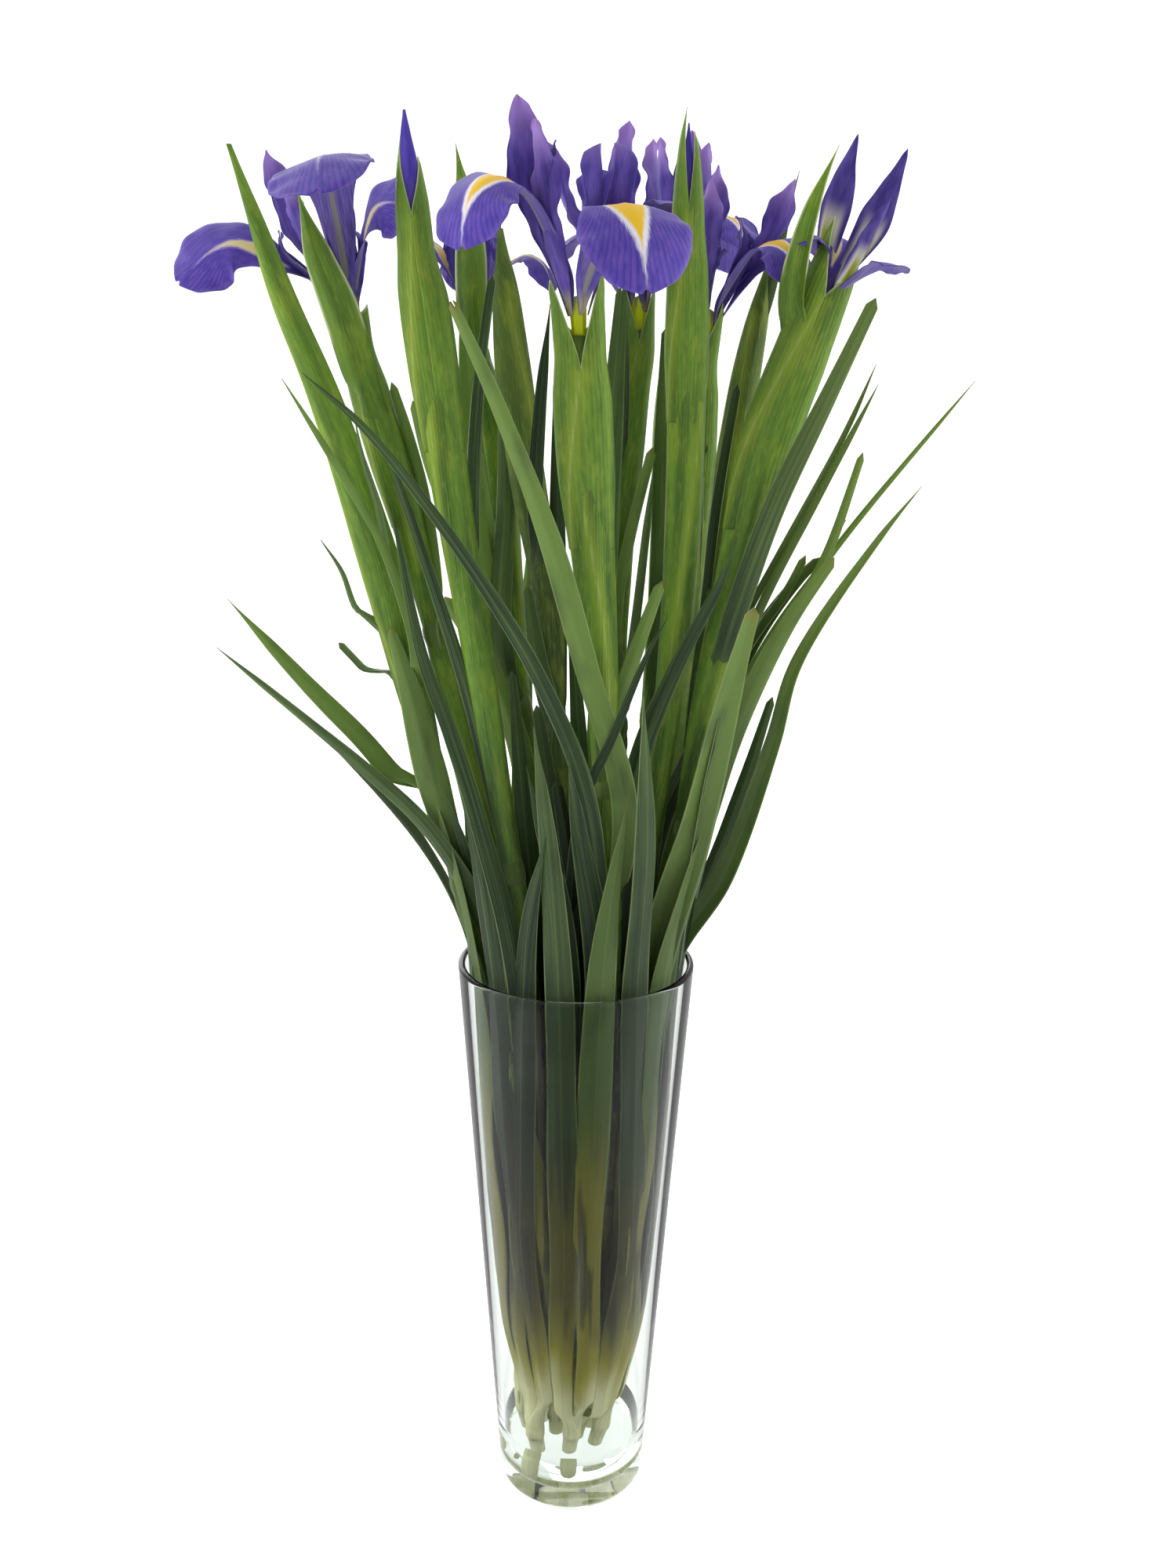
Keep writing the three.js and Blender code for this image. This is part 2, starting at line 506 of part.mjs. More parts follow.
// A petal leaves the top of the tube in one direction and bends as its bend rows say.
function petal(kind, [direction, rise, size, droop = 0, roll = 0], place) {
  const step = 2;
  const length = kind.stations[kind.stations.length - 1];
  const angleAt = (at) => {
    const blade = Math.max(0, (at - HAFT_LENGTH) / (length - HAFT_LENGTH));
    return THREE.MathUtils.degToRad(interpolate(kind.bend, at) + rise - droop * blade);
  };
  const path = [[0, 0, TUBE_HEIGHT - 3]];
  for (let at = 0; at < length; at += step) {
    const [, out, up] = path[path.length - 1];
    const angle = angleAt(at + step / 2);
    path.push([at + step, out + step * size * Math.cos(angle), up + step * size * Math.sin(angle)]);
  }
  const outs = path.map(([at, out]) => [at, out]);
  const ups = path.map(([at, , up]) => [at, up]);
  const heading = THREE.MathUtils.degToRad(direction);
  const radial = new THREE.Vector3(Math.cos(heading), Math.sin(heading), 0);
  const sideways = new THREE.Vector3(-Math.sin(heading), Math.cos(heading), 0);
  const rows = kind.stations.map((at, r) => {
    const angle = angleAt(at);
    const turn = THREE.MathUtils.degToRad(roll * Math.min(1, at / HAFT_LENGTH));
    const level = radial.clone().multiplyScalar(-Math.sin(angle));
    level.z = Math.cos(angle);
    const across = sideways.clone().multiplyScalar(Math.cos(turn)).addScaledVector(level, Math.sin(turn));
    const face = level.multiplyScalar(Math.cos(turn)).addScaledVector(sideways, -Math.sin(turn));
    const centre = radial.clone().multiplyScalar(interpolate(outs, at));
    centre.z = interpolate(ups, at);
    const width = interpolate(kind.width, at) * size;
    const row = [];
    for (let c = 0; c < kind.columns; c += 1) {
      const share = (2 * c) / (kind.columns - 1) - 1;
      const rim = Math.abs(share) === 1 && width > 20 ? kind.wave * (r % 2 ? 1 : -1) : 0;
      const lift = -kind.cup * width * share * share + rim;
      const point = centre.clone().addScaledVector(across, (share * width) / 2).addScaledVector(face, lift);
      row.push(point.applyMatrix4(place));
    }
    return row;
  });
  return slab(rows, PETAL_THICKNESS);
}

function tubeSolid(seat, place) {
  const foot = ellipse(new THREE.Vector3(seat.x, seat.y, seat.z), TUBE_RADIUS.foot, TUBE_RADIUS.foot, STEM_SIDES);
  const mouth = ellipse(new THREE.Vector3(0, 0, TUBE_HEIGHT), TUBE_RADIUS.mouth, TUBE_RADIUS.mouth, STEM_SIDES);
  return loft([foot, mouth.map((point) => point.applyMatrix4(place))]);
}

function seatOn({ route }) {
  const [x, y, z] = route[route.length - 1];
  return new THREE.Vector3(x, y, z + GAP);
}

function flower(stem, { lean, falls, standards, arms = 1 }) {
  const seat = seatOn(stem);
  const place = leaning(seat, lean);
  const pieces = [tubeSolid(seat, place)];
  for (const fall of falls) {
    pieces.push(petal(FALL, fall, place));
    if (arms) pieces.push(petal(STYLE_ARM, [fall[0], fall[1], fall[2] * arms], place));
  }
  for (const standard of standards) pieces.push(petal(STANDARD, standard, place));
  return geometryFrom(joined(pieces).simplify(FINEST));
}

function bud(stem, { lean, height, radius }) {
  const seat = seatOn(stem);
  const place = leaning(seat, lean);
  const rings = [[0, 0.7], [0.25, 1], [0.6, 0.8], [0.85, 0.4], [1, 0.12]].map(([share, girth]) => {
    const ring = ellipse(new THREE.Vector3(0, 0, share * height), radius * girth, radius * girth, 9);
    ring.forEach((point, i) => {
      const lobe = 1 + 0.18 * Math.cos((i / 9) * Math.PI * 6 + share * 3);
      point.set(point.x * lobe, point.y * lobe, point.z);
      if (share > 0) point.applyMatrix4(place);
      else point.add(seat);
    });
    return ring;
  });
  return geometryFrom(solidOf(loft(rings)));
}

function leafyStem(stem) {
  const pieces = [stemSolid(stem), ...stem.leaves.map((leaf) => leafSolid(leaf, stem.route))];
  return geometryFrom(joined(pieces).simplify(FINEST));
}

// A pool over the vase's floor, with a plain hole for each stem.
function water() {
  const radius = FOOT_RADIUS - WALL - 7;
  const level = FLOOR + GAP + WATER_DEPTH;
  const rings = [];
  for (const [height, inset] of [[FLOOR + GAP, 1], [FLOOR + 3, -3], [FLOOR + 9, -5.2], [level, -6]]) {
    rings.push(ellipse(new THREE.Vector3(0, 0, height), radius - inset, radius - inset, VASE_SIDES));
  }
  let pool = solidOf(loft(rings));
  for (const { route } of Object.values(STEMS)) {
    const hole = [route[0][2] - 2, level + 2].map((height) => {
      const centre = placeAt(route, Math.max(height, route[0][2]));
      centre.z = height;
      const radius = interpolate(STEM_RADIUS, level) + GAP * 2;
      return ellipse(centre, radius, radius, STEM_SIDES);
    });
    pool = pool.subtract(solidOf(loft(hole)));
  }
  return geometryFrom(pool);
}

function node(name, geometry, colour, roughness) {
  const material = new THREE.MeshStandardMaterial({ color: colour, roughness, metalness: 0 });
  const mesh = new THREE.Mesh(geometry, material);
  mesh.name = name;
  return mesh;
}

const irises = new THREE.Group();
irises.add(node('vase', vase(), COLOURS.glass, 0.05));
irises.add(node('water', water(), COLOURS.water, 0.02));
for (const [name, stem] of Object.entries(STEMS)) {
  const colour = name.startsWith('closed') ? COLOURS.dark_leaf : COLOURS.leaf;
  irises.add(node(`stem_${name}`, leafyStem(stem), colour, 0.5));
}
for (const [name, form] of Object.entries(FLOWERS)) {
  irises.add(node(`flower_${name}`, flower(STEMS[name], form), COLOURS.violet, 0.6));
}
for (const [name, form] of Object.entries(BUDS)) {
  irises.add(node(`petals_${name}`, bud(STEMS[name], form), COLOURS.violet, 0.6));
}

export default irises;
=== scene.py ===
"""Cut irises in a cone-shaped glass vase. Sizes are in millimetres until a piece is made."""
import math
import random
from functools import partial

import bmesh
import bpy
from mathutils import Matrix, Vector


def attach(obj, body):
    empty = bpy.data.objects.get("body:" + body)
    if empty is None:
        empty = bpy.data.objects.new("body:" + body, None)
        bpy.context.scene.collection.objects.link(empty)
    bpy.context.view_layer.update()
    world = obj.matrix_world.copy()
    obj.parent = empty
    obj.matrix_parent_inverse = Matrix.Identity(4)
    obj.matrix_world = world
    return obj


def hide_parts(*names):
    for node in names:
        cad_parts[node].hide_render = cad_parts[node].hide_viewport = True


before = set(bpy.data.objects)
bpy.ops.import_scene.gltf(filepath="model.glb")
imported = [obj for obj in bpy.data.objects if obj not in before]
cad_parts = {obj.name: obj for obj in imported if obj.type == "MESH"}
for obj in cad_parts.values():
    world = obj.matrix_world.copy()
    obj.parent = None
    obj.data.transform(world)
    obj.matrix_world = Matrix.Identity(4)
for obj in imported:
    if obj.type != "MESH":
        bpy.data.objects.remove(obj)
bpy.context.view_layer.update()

MM = 0.001
SAME_POINT = 1e-6

# Vase and water
VASE_HEIGHT = 300
RIM_RADIUS = 60
FOOT_RADIUS = 39
WALL = 2.8
FLOOR = 10
HEEL_RADIUS = 5
CORNER = 7
RIM_BEAD = 1.8
GAP = 0.3
CUT_HEIGHT = FLOOR + GAP
WATER_LEVEL = CUT_HEIGHT + 22
WATER_LAP = 0.1
HAZE = {"from": WATER_LEVEL + 30, "to": VASE_HEIGHT - 6, "gap": 0.12}

# Stems, leaves and petals
STEM_RADIUS = [[CUT_HEIGHT, 4.2], [285, 6], [400, 5.4], [520, 4.6]]
LEAF_THICKNESS = 0.5
PETAL_THICKNESS = 0.35
LEAF_FOLD = 0.14
VALVE_FOLD = 0.32
CLASP_LENGTH = 34
# Faces across and along each kind of piece
GRIDS = {"stem": (40, 110), "tube": (36, 24), "bud": (48, 60), "spathe": (64, 44), "haze": (120, 24)}
LEAF_GRID = {"across": 12, "least": 24, "gap": 3.5}
# Where each kind of piece starts its own random draws, and how many of them each stem and flower has
SEEDS = {"stem": 20, "low_leaves": 500, "flower": 30, "arms": 9, "standards": 18}

# A petal's shape along its own length, from the top of the flower's tube. Its foot is a narrow claw, sunk in the tube.
TUBE_HEIGHT = 16
TUBE_RADIUS = {"foot": 3.0, "mouth": 4.2}
CLAW = {"radius": 4.3, "sunk": 8, "length": 8, "stretch": 1.5}
HAFT_LENGTH = 40
BUD_GIRTHS = [[0, 0.7], [0.25, 1], [0.6, 0.8], [0.85, 0.4], [1, 0.1]]
# Spathes stand round the foot of a flower or bud: half width and half depth by height over the stem's end, the
# height of the front slit and of the right and left tips, and how far round the slit opens to them
SPATHE_DEPTH = 90
SPATHES = {
    "left_bud": {"girth": [[0, 7.4, 5.6], [12, 6.9, 5.6], [26, 5, 4.4], [42, 1.6, 1.6]], "slit": 7, "tips": (30, 39),
        "open": 0.4},
    "right_bud": {"girth": [[0, 7, 5], [16, 5.6, 4.4], [30, 3.7, 3.4], [44, 0.9, 0.9]], "slit": 1, "tips": (33, 43),
        "open": 0.24},
    "main": {"girth": [[0, 11, 6], [14, 11.2, 6], [30, 12.6, 6]], "slit": -13, "tips": (26, 24), "open": 0.36},
    "back": {"girth": [[0, 7.2, 5], [14, 7.4, 5], [30, 8.2, 5]], "slit": -6, "tips": (20, 22), "open": 0.36},
    "behind_bud": {"girth": [[0, 7.2, 5], [14, 6.8, 4.8], [30, 5.4, 4]], "slit": -4, "tips": (22, 19), "open": 0.36},
    "right": {"girth": [[0, 7.2, 5], [14, 6.8, 4.8], [30, 5.4, 4]], "slit": -4, "tips": (20, 23), "open": 0.36},
    "left": {"girth": [[0, 7.5, 5.8], [14, 7, 5.6], [30, 5, 4]], "slit": 2, "tips": (10, 18), "open": 0.5},
    "opening": {"girth": [[0, 12, 6.8], [20, 11, 6.8], [44, 8.4, 5.6]], "slit": 13, "tips": (32, 47), "open": 0.4},
}
FALL = {
    "bend": [[0, 84], [9, 64], [16, 52], [48, 48], [62, 18], [74, -30], [90, -66], [108, -78]],
    "width": [[0, 1], [8, 8], [20, 12], [44, 17], [56, 25], [72, 43], [88, 47], [101, 34], [108, 26]],
    "cup": [[0, 0.2], [40, 0.16], [58, -0.04], [76, -0.12], [108, -0.08]],
    "round_end": 13,
    "notch": 0.018,
    "ruffle": 1.7,
    "ruffle_from": 60,
    "waves": 16,
    "grid": (28, 64),
}
STANDARD = {
    "bend": [[0, 74], [22, 70], [50, 84], [84, 92]],
    "width": [[0, 1], [9, 7], [26, 12], [46, 16], [60, 18], [70, 14], [79, 7], [84, 2]],
    "cup": [[0, 0.1], [40, 0.22], [84, 0.3]],
    "round_end": 3,
    "notch": 0.0,
    "ruffle": 2.1,
    "ruffle_from": 34,
    "waves": 15,
    "grid": (16, 56),
}
HALF_OPEN = {
    "bend": [[0, 74], [22, 76], [50, 82], [90, 86]],
    "width": [[0, 7], [18, 12], [36, 17], [52, 17], [70, 10], [84, 4], [90, 1]],
    "cup": [[0, 0.3], [40, 0.26], [90, 0.34]],
    "round_end": 3,
    "notch": 0.0,
    "ruffle": 1.2,
    "ruffle_from": 40,
    "waves": 26,
    "grid": (16, 56),
}
STYLE_ARM = {
    "bend": [[0, 80], [14, 68], [46, 60], [56, 80], [72, 118]],
    "width": [[0, 1], [9, 8], [22, 13], [48, 17], [60, 23], [72, 20]],
    "cup": [[0, -0.1], [22, -0.24], [50, -0.2], [72, 0.05]],
    "round_end": 7,
    "notch": 0.36,
    "ruffle": 1.6,
    "ruffle_from": 50,
    "waves": 9,
    "grid": (20, 48),
}


def leaf(joins, turn, widths, route, fold=LEAF_FOLD):
    """A leaf's route runs from its tip down to the height where it joins its stem."""
    return {"joins": joins, "turn": turn, "widths": widths, "route": route, "fold": fold}


def leafy_stem(route, sheath, *leaves):
    """A stem's route runs up from its cut end. Its sheath is rows of height, half width and half depth."""
    return {"route": route, "sheath": sheath, "leaves": leaves}


STEMS = {
    "far_left": leafy_stem(
        [[-26, 4, CUT_HEIGHT], [-41, -6, 285], [-53, -9, 327], [-77, -14, 431], [-95, -19, 508], [-115, -25, 575],
            [-131, -27, 616], [-143, -30, 654], [-150, -34, 677]],
        [[400, 5.4, 5], [440, 8, 5], [500, 10, 5], [560, 8, 4.5], [616, 6, 3.5], [654, 3, 2], [677, 0.8, 0.8]],
        leaf(205, 20, [2, 6, 9, 12, 14], [[-169, -23, 461], [-126, -23, 425], [-102, -22, 404], [-74, -22, 377],
            [-54, -22, 347], [-37, -22, 305]]),
        leaf(378, -20, [1.5, 6, 9, 10], [[-167, -8, 482], [-127, -11, 439], [-105, -13, 417], [-84, -14, 393]]),
        leaf(70, 30, [4, 12, 13, 11], [[-43, -22, 284], [-40, -24, 220], [-33, -18, 140]]),
        leaf(440, 10, [3.4, 3.6, 4], [[-117, 4, 460], [-105, -2, 449], [-94, -8, 438]]),
        leaf(455, 30, [2, 3, 4], [[-122, -6, 510], [-112, -10, 496], [-104, -14, 477]]),
        leaf(425, -30, [1.8, 4, 4.6], [[-126, -60, 581], [-103, -48, 540], [-89, -42, 513], [-80, -36, 484],
            [-76, -30, 464]]),
        leaf(462, 30, [2.2, 4, 5.2], [[-100, -34, 566], [-97, -32, 548], [-91, -30, 526]]),
        leaf(330, 0, [3.6, 12, 16, 13], [[-87, -28, 472], [-79, -26, 443], [-72, -23, 410]]),
    ),
    "left": leafy_stem(
        [[-21, -5, CUT_HEIGHT], [-24, -14, 289], [-42, -12, 367], [-62, -11, 440], [-81, -9, 519], [-98, 2, 575],
            [-106, 8, 606]],
        [[470, 5, 4.6], [530, 8, 5], [575, 8, 5.5], [606, 6.5, 5]],
        leaf(540, 0, [2, 12, 17, 16, 9], [[-126, -14, 663], [-118, -17, 638], [-108, -15, 612], [-97, -12, 572]],
            VALVE_FOLD),
        leaf(455, 20, [3.6, 7, 8.5], [[-88, 0, 582], [-79, -3, 553], [-72, -7, 522]]),
        leaf(240, 20, [2, 6, 9, 9], [[-64, -26, 396], [-51, -21, 354], [-41, -18, 322]]),
    ),
    "left_bud": leafy_stem(
        [[-19, -17, CUT_HEIGHT], [-25, -30, 300], [-33, -34, 373], [-44, -38, 446], [-58, -42, 541], [-65, -44, 596],
            [-71, -44, 641]],
        [[400, 5.6, 5.2], [480, 7, 5.2], [560, 9, 5.5], [610, 9.5, 5.5], [641, 7, 4.5]],
        leaf(150, -20, [2.2, 7, 9.5, 12], [[-82, -50, 525], [-70, -48, 461], [-58, -47, 426], [-45, -46, 382],
            [-28, -44, 306]]),
        leaf(345, 10, [3, 6, 7], [[-82, -42, 543], [-69, -41, 504], [-50, -39, 441]]),
        leaf(505, 0, [3.4, 5, 5], [[-73, -44, 573], [-67, -43, 549]]),
        leaf(475, 10, [3.6, 5.5, 6.6], [[-40, -16, 628], [-45, -21, 591], [-48, -26, 550]]),
    ),
    "small": leafy_stem(
        [[-18, 9, CUT_HEIGHT], [-18, 12, 299], [-23, 16, 363], [-35, 22, 486], [-40, 28, 535], [-50, 33, 599]],
        [[440, 5.2, 5], [545, 8, 5], [599, 6.5, 4.5]],
        leaf(110, 0, [3, 10, 13, 13, 12], [[-32, -12, 450], [-26, -10, 380], [-20, -4, 310], [-18, 1, 220]]),
        leaf(560, 0, [2, 11, 15, 14, 9], [[-59, 19, 688], [-53, 19, 649], [-52, 19, 612], [-49, 22, 580]], VALVE_FOLD),
        leaf(350, 20, [8, 11, 13], [[-65, 4, 483], [-46, 6, 453], [-30, 9, 410]]),
        leaf(415, -20, [6.6, 9, 10], [[-50, 8, 537], [-48, 10, 510], [-41, 14, 460]]),
        leaf(407, 10, [4.2, 8, 11], [[-40, 14, 623], [-37, 13, 593], [-36, 12, 528], [-38, 11, 465]]),
        leaf(130, 0, [8.8, 12, 13, 12], [[-15, 1, 338], [-17, 5, 310], [-19, 4, 220]]),
    ),
    "closed_middle": leafy_stem(
        [[-9, -1, CUT_HEIGHT], [-5, -4, 290], [-8, -3, 361], [-16, -1, 485], [-25, 2, 536], [-32, 3, 586],
            [-38, 6, 650]],
        [[430, 5.2, 5], [530, 8, 5], [586, 8.4, 5], [622, 6, 4], [650, 0.8, 0.8]],
        leaf(395, 20, [3.7, 9, 12], [[-25, -8, 491], [-19, -7, 452], [-10, -6, 415]]),
        leaf(250, 0, [4.6, 8, 10, 9], [[-20, -15, 434], [-14, -13, 395], [-11, -11, 350]]),
        leaf(110, 10, [1.5, 8, 14, 16, 14], [[-23, -56, 414], [-16, -50, 380], [-8, -44, 350], [-4, -41, 305],
            [-9, -25, 200]]),
        leaf(480, -10, [1.2, 5, 7, 8], [[-14, -24, 617], [-19, -17, 568], [-21, -13, 525]]),
        leaf(289, 0, [1.9, 4.5, 6], [[39, -64, 483], [31, -60, 467], [16, -55, 428], [3, -49, 395]]),
        leaf(220, 0, [5, 9, 10, 9], [[-10, -32, 401], [-5, -28, 372], [1, -24, 335]]),
    ),
    "main": leafy_stem(
        [[-1, -17, CUT_HEIGHT], [16, -32, 302], [14, -35, 370], [10, -41, 458], [3, -47, 538], [-1, -51, 600]],
        [[400, 5.6, 5], [470, 7.8, 5.2], [510, 9.6, 5.6], [545, 11, 6], [580, 11.2, 6], [600, 7.5, 5.2]],
        leaf(290, 0, [2.2, 6, 8.5], [[-115, -72, 583], [-90, -70, 561], [-62, -67, 526], [-38, -64, 491],
            [-17, -62, 455], [4, -57, 402]]),
        leaf(325, 10, [4, 7.5, 11, 11, 12], [[-53, -74, 612], [-34, -66, 570], [-13, -59, 516], [4, -55, 458],
            [22, -48, 393]]),
        leaf(36, -10, [3, 9, 11, 10], [[-30, -42, 262], [-20, -40, 210], [-9, -33, 130]]),
        leaf(388, 0, [4.5, 7, 7], [[37, -40, 496], [27, -39, 467], [16, -38, 430]]),
        leaf(80, -10, [2.3, 14, 17, 15], [[-4, -66, 420], [1, -55, 384], [12, -45, 307], [9, -37, 190]]),
    ),
    "back": leafy_stem(
        [[-2, 14, CUT_HEIGHT], [18, 22, 284], [19, 25, 353], [19, 31, 482], [22, 32, 560], [27, 34, 608]],
        [[460, 5, 4.8], [560, 7.5, 5], [608, 6.5, 4.5]],
        leaf(50, 0, [3, 11, 13, 14, 12], [[-4, 6, 470], [1, 8, 400], [3, 10, 320], [1, 10, 200]]),
        leaf(405, 10, [5, 10, 12.5, 12], [[18, 8, 626], [15, 10, 577], [12, 14, 500], [11, 18, 440]]),
        leaf(480, -20, [2.8, 5, 6], [[20, 20, 623], [20, 24, 570], [18, 28, 518]]),
        leaf(430, 0, [4.4, 5.5, 6], [[34, 14, 554], [24, 19, 512], [18, 23, 475]]),
        leaf(395, 20, [2.9, 4.5, 5.3], [[34, 4, 544], [32, 10, 519], [27, 17, 465]]),
    ),
    "behind_bud": leafy_stem(
        [[8, 20, CUT_HEIGHT], [30, 30, 284], [34, 36, 350], [40, 48, 485], [45, 68, 570], [50, 80, 616]],
        [[470, 5, 4.8], [570, 7, 4.8], [616, 6, 4.5]],
        leaf(405, 0, [5, 8, 9], [[40, 26, 610], [39, 29, 560], [39, 32, 493]]),
        leaf(501, 0, [2.1, 3, 3.3], [[38, 38, 607], [39, 44, 583], [41, 50, 550]]),
    ),
    "right_bud": leafy_stem(
        [[3, -5, CUT_HEIGHT], [28, -12, 294], [41, -13, 416], [47, -14, 509], [47, -14, 602], [46, -14, 655]],
        [[400, 5.4, 5], [515, 8, 5.2], [600, 8.5, 5.5], [655, 6.5, 4.5]],
        leaf(215, 0, [2.2, 7, 11, 14, 13], [[71, -34, 516], [65, -32, 497], [46, -29, 457], [31, -26, 417],
            [24, -24, 375]]),
        leaf(160, 0, [2.4, 9, 12, 12], [[51, -26, 358], [40, -23, 327], [33, -20, 301]]),
    ),
    "right": leafy_stem(
        [[11, 5, CUT_HEIGHT], [37, 8, 286], [47, 11, 406], [54, 13, 507], [57, 17, 601]],
        [[440, 5.2, 5], [555, 7, 4.8], [601, 6, 4.5]],
        leaf(440, 0, [4.4, 5.2, 5.3], [[56, 6, 542], [56, 8, 511], [54, 10, 473]]),
        leaf(520, 0, [2.9, 3.3, 3.5], [[60, 8, 556], [56, 11, 540]]),
        leaf(359, 20, [1.2, 3, 4.6], [[185, 14, 586], [139, 11, 529], [119, 10, 502], [94, 8, 466], [71, 7, 419]]),
        leaf(180, 0, [5.4, 11, 14, 14], [[63, -10, 432], [54, -8, 408], [40, -5, 370], [33, -2, 332]]),
    ),
    "opening": leafy_stem(
        [[14, -10, CUT_HEIGHT], [44, -16, 296], [57, -18, 413], [71, -19, 488], [84, -20, 555], [103, -12, 608]],
        [[400, 5.6, 5], [455, 8, 5.2], [510, 10, 5.4], [560, 12, 5.8], [608, 12, 6]],
        leaf(575, 40, [2, 8, 14, 15], [[109, -26, 681], [99, -26, 657], [93, -23, 632], [91, -19, 606]], VALVE_FOLD),
        leaf(430, 0, [5, 9, 11], [[122, -60, 616], [106, -50, 577], [86, -40, 529], [73, -30, 485]]),
        leaf(395, 20, [2.2, 3.6, 4.5], [[133, -20, 583], [108, -21, 532], [83, -22, 480]]),
        leaf(365, 0, [3.3, 5, 6], [[130, -8, 553], [114, -15, 505], [96, -18, 472]]),
        leaf(320, 0, [4.5, 10, 13], [[115, -34, 507], [97, -32, 479], [81, -30, 446], [68, -27, 410]]),
        leaf(205, 20, [1.5, 5, 8, 11, 10], [[153, -31, 539], [135, -28, 514], [102, -20, 456], [93, -17, 417],
            [72, -14, 349], [47, -9, 301]]),
        leaf(120, -10, [6, 15, 19, 19, 17], [[76, -67, 488], [69, -58, 454], [57, -40, 384], [38, -27, 301]]),
    ),
    "closed_right": leafy_stem(
        [[19, 14, CUT_HEIGHT], [44, 20, 286], [56, 25, 411], [68, 36, 502], [80, 46, 588], [90, 50, 642]],
        [[420, 5.2, 5], [540, 8, 5], [590, 7, 4.5], [620, 5, 3.5], [642, 0.8, 0.8]],
        leaf(60, 0, [3, 9, 8, 8], [[84, 16, 448], [64, 21, 375], [43, 27, 300], [33, 23, 160]]),
        leaf(560, 0, [1.2, 4.5, 6, 6], [[103, 50, 684], [97, 50, 660], [91, 48, 630], [81, 44, 595]]),
        leaf(435, 0, [4.3, 5, 5.2], [[74, 22, 584], [71, 25, 562], [66, 28, 522]]),
        leaf(425, 0, [2.1, 3.2, 3.7], [[137, 8, 593], [125, 12, 562], [99, 20, 507]]),
        leaf(359, 0, [4.5, 8, 9], [[117, 14, 503], [107, 17, 492], [84, 24, 455]]),
        leaf(400, 0, [3.7, 4.5, 4.5], [[109, 12, 504], [101, 16, 486], [86, 20, 462]]),
        leaf(290, 0, [3.8, 7, 7], [[94, -2, 437], [81, 3, 388], [62, 11, 330]]),
    ),
}

# A petal is its direction, rise and size, and some have a droop and a roll. The style arms have the falls' own
# directions, and "yellow" is how strong the flares are.
FLOWERS = {
    "left": {
        "lean": [6, 150],
        "arms": 0.75,
        "yellow": 0.25,
        "falls": [[186, -18, 0.8, -60, -65], [-88, 2, 1, -27], [-40, 14, 0.62, -48, 60]],
        "standards": [[171, -11, 0.9, 0, -45], [100, 4, 0.7], [213, -13, 0.7]],
    },
    "small": {
        "lean": [4, 90],
        "yellow": 0.6,
        "falls": [[150, 8, 0.6, -110], [-11, 14, 0.58, 20, 25], [98, 10, 0.75]],
        "standards": [[128, -12, 0.68], [21, 4, 0.64], [253, -2, 0.6]],
    },
    "main": {
        "lean": [4, 190],
        "falls": [[214, 13, 0.92, 22, -20], [-70, -18, 0.98, -11], [62, 0, 0.85]],
        "standards": [[173, 0, 1.02, 0, -50], [228, -1, 0.88], [-10, -6, 0.88, 0, 50]],
    },
    "back": {
        "lean": [6, 100],
        "falls": [[165, 10, 0.66], [-50, 24, 0.65, -30], [25, 30, 0.5]],
        "standards": [[190, -18, 1.05, 0, -40], [130, 4, 1], [-25, 8, 0.9]],
    },
    "behind_bud": {
        "lean": [4, 60],
        "falls": [[160, 6, 0.62], [-50, 14, 0.66, 10], [60, 6, 0.9]],
        "standards": [[208, 0, 0.9], [86, 16, 0.95], [-35, 6, 0.88]],
    },
    "right": {
        "lean": [8, 20],
        "falls": [[-30, 12, 0.68, 20, 15], [22, 8, 0.62, -50], [130, 26, 0.5]],
        "standards": [[2, -10, 0.86, 0, 50], [115, 4, 0.85], [235, 0, 0.72]],
    },
    "opening": {
        "lean": [20, 5],
        "arms": 0,
        "yellow": 0.3,
        "falls": [[-35, 4, 0.4, -80], [100, 28, 0.5], [196, 28, 0.4]],
        "standards": [[20, 4, 0.82, 0, 50], [143, 3, 0.81, 0, -40], [-40, -1, 0.56]],
    },
}

BUDS = {
    "left_bud": {"lean": [-4, 0], "height": 48, "radius": 4.6},
    "right_bud": {"lean": [-1, 0], "height": 36, "radius": 2.6},
}

# Each stem's low leaves line the vase: the turn round the vase where each lies, the height of its tip, and how far
# out the tip reaches where it reaches far
LOW_LEAVES = {
    "far_left": [(184, 402), (162, 380), (173, 416, 134)],
    "left": [(203, 424)],
    "left_bud": [(224, 446), (243, 384)],
    "small": [(143, 452), (121, 506)],
    "closed_middle": [(101, 470)],
    "main": [(262, 436), (283, 398)],
    "back": [(81, 520)],
    "behind_bud": [(60, 468), (41, 436)],
    "right_bud": [(303, 452)],
    "right": [(350, 430)],
    "opening": [(322, 404), (336, 436)],
    "closed_right": [(20, 470), (4, 396), (7, 521, 129)],
}
# The way of a low leaf inside the vase: its radius, its height and its share of the sideways drift
LOW_LEAF = {
    "inside": [(52.5, VASE_HEIGHT, 0), (47.5, 210, -0.3), (43, 150, -0.5), (38, 100, 0), (31, 66, 0), (26.5, 48, 0)],
    "widths": [1.5, 8, 13, 15.5, 16.5, 16, 14, 13, 11],
    "joins": 22,
    "step": 9,
    "drift": 16,
    "rim": 52,
    "lean": (0.12, 0.26),
    "vary": (0.85, 1.1),
    "bow": 0.42,
    "bow_far": 0.33,
}
# Leaves that stand behind the front sheaths
BACK_LEAVES = {
    "small": [leaf(470, 0, [2, 8, 9, 8], [[-57, 12, 628], [-55, 14, 600], [-52, 16, 560], [-46, 20, 520]])],
    "closed_middle": [leaf(400, 0, [1.5, 6, 8, 8], [[-12, 2, 612], [-11, 2, 570], [-11, 1, 520], [-10, -1, 465]])],
}

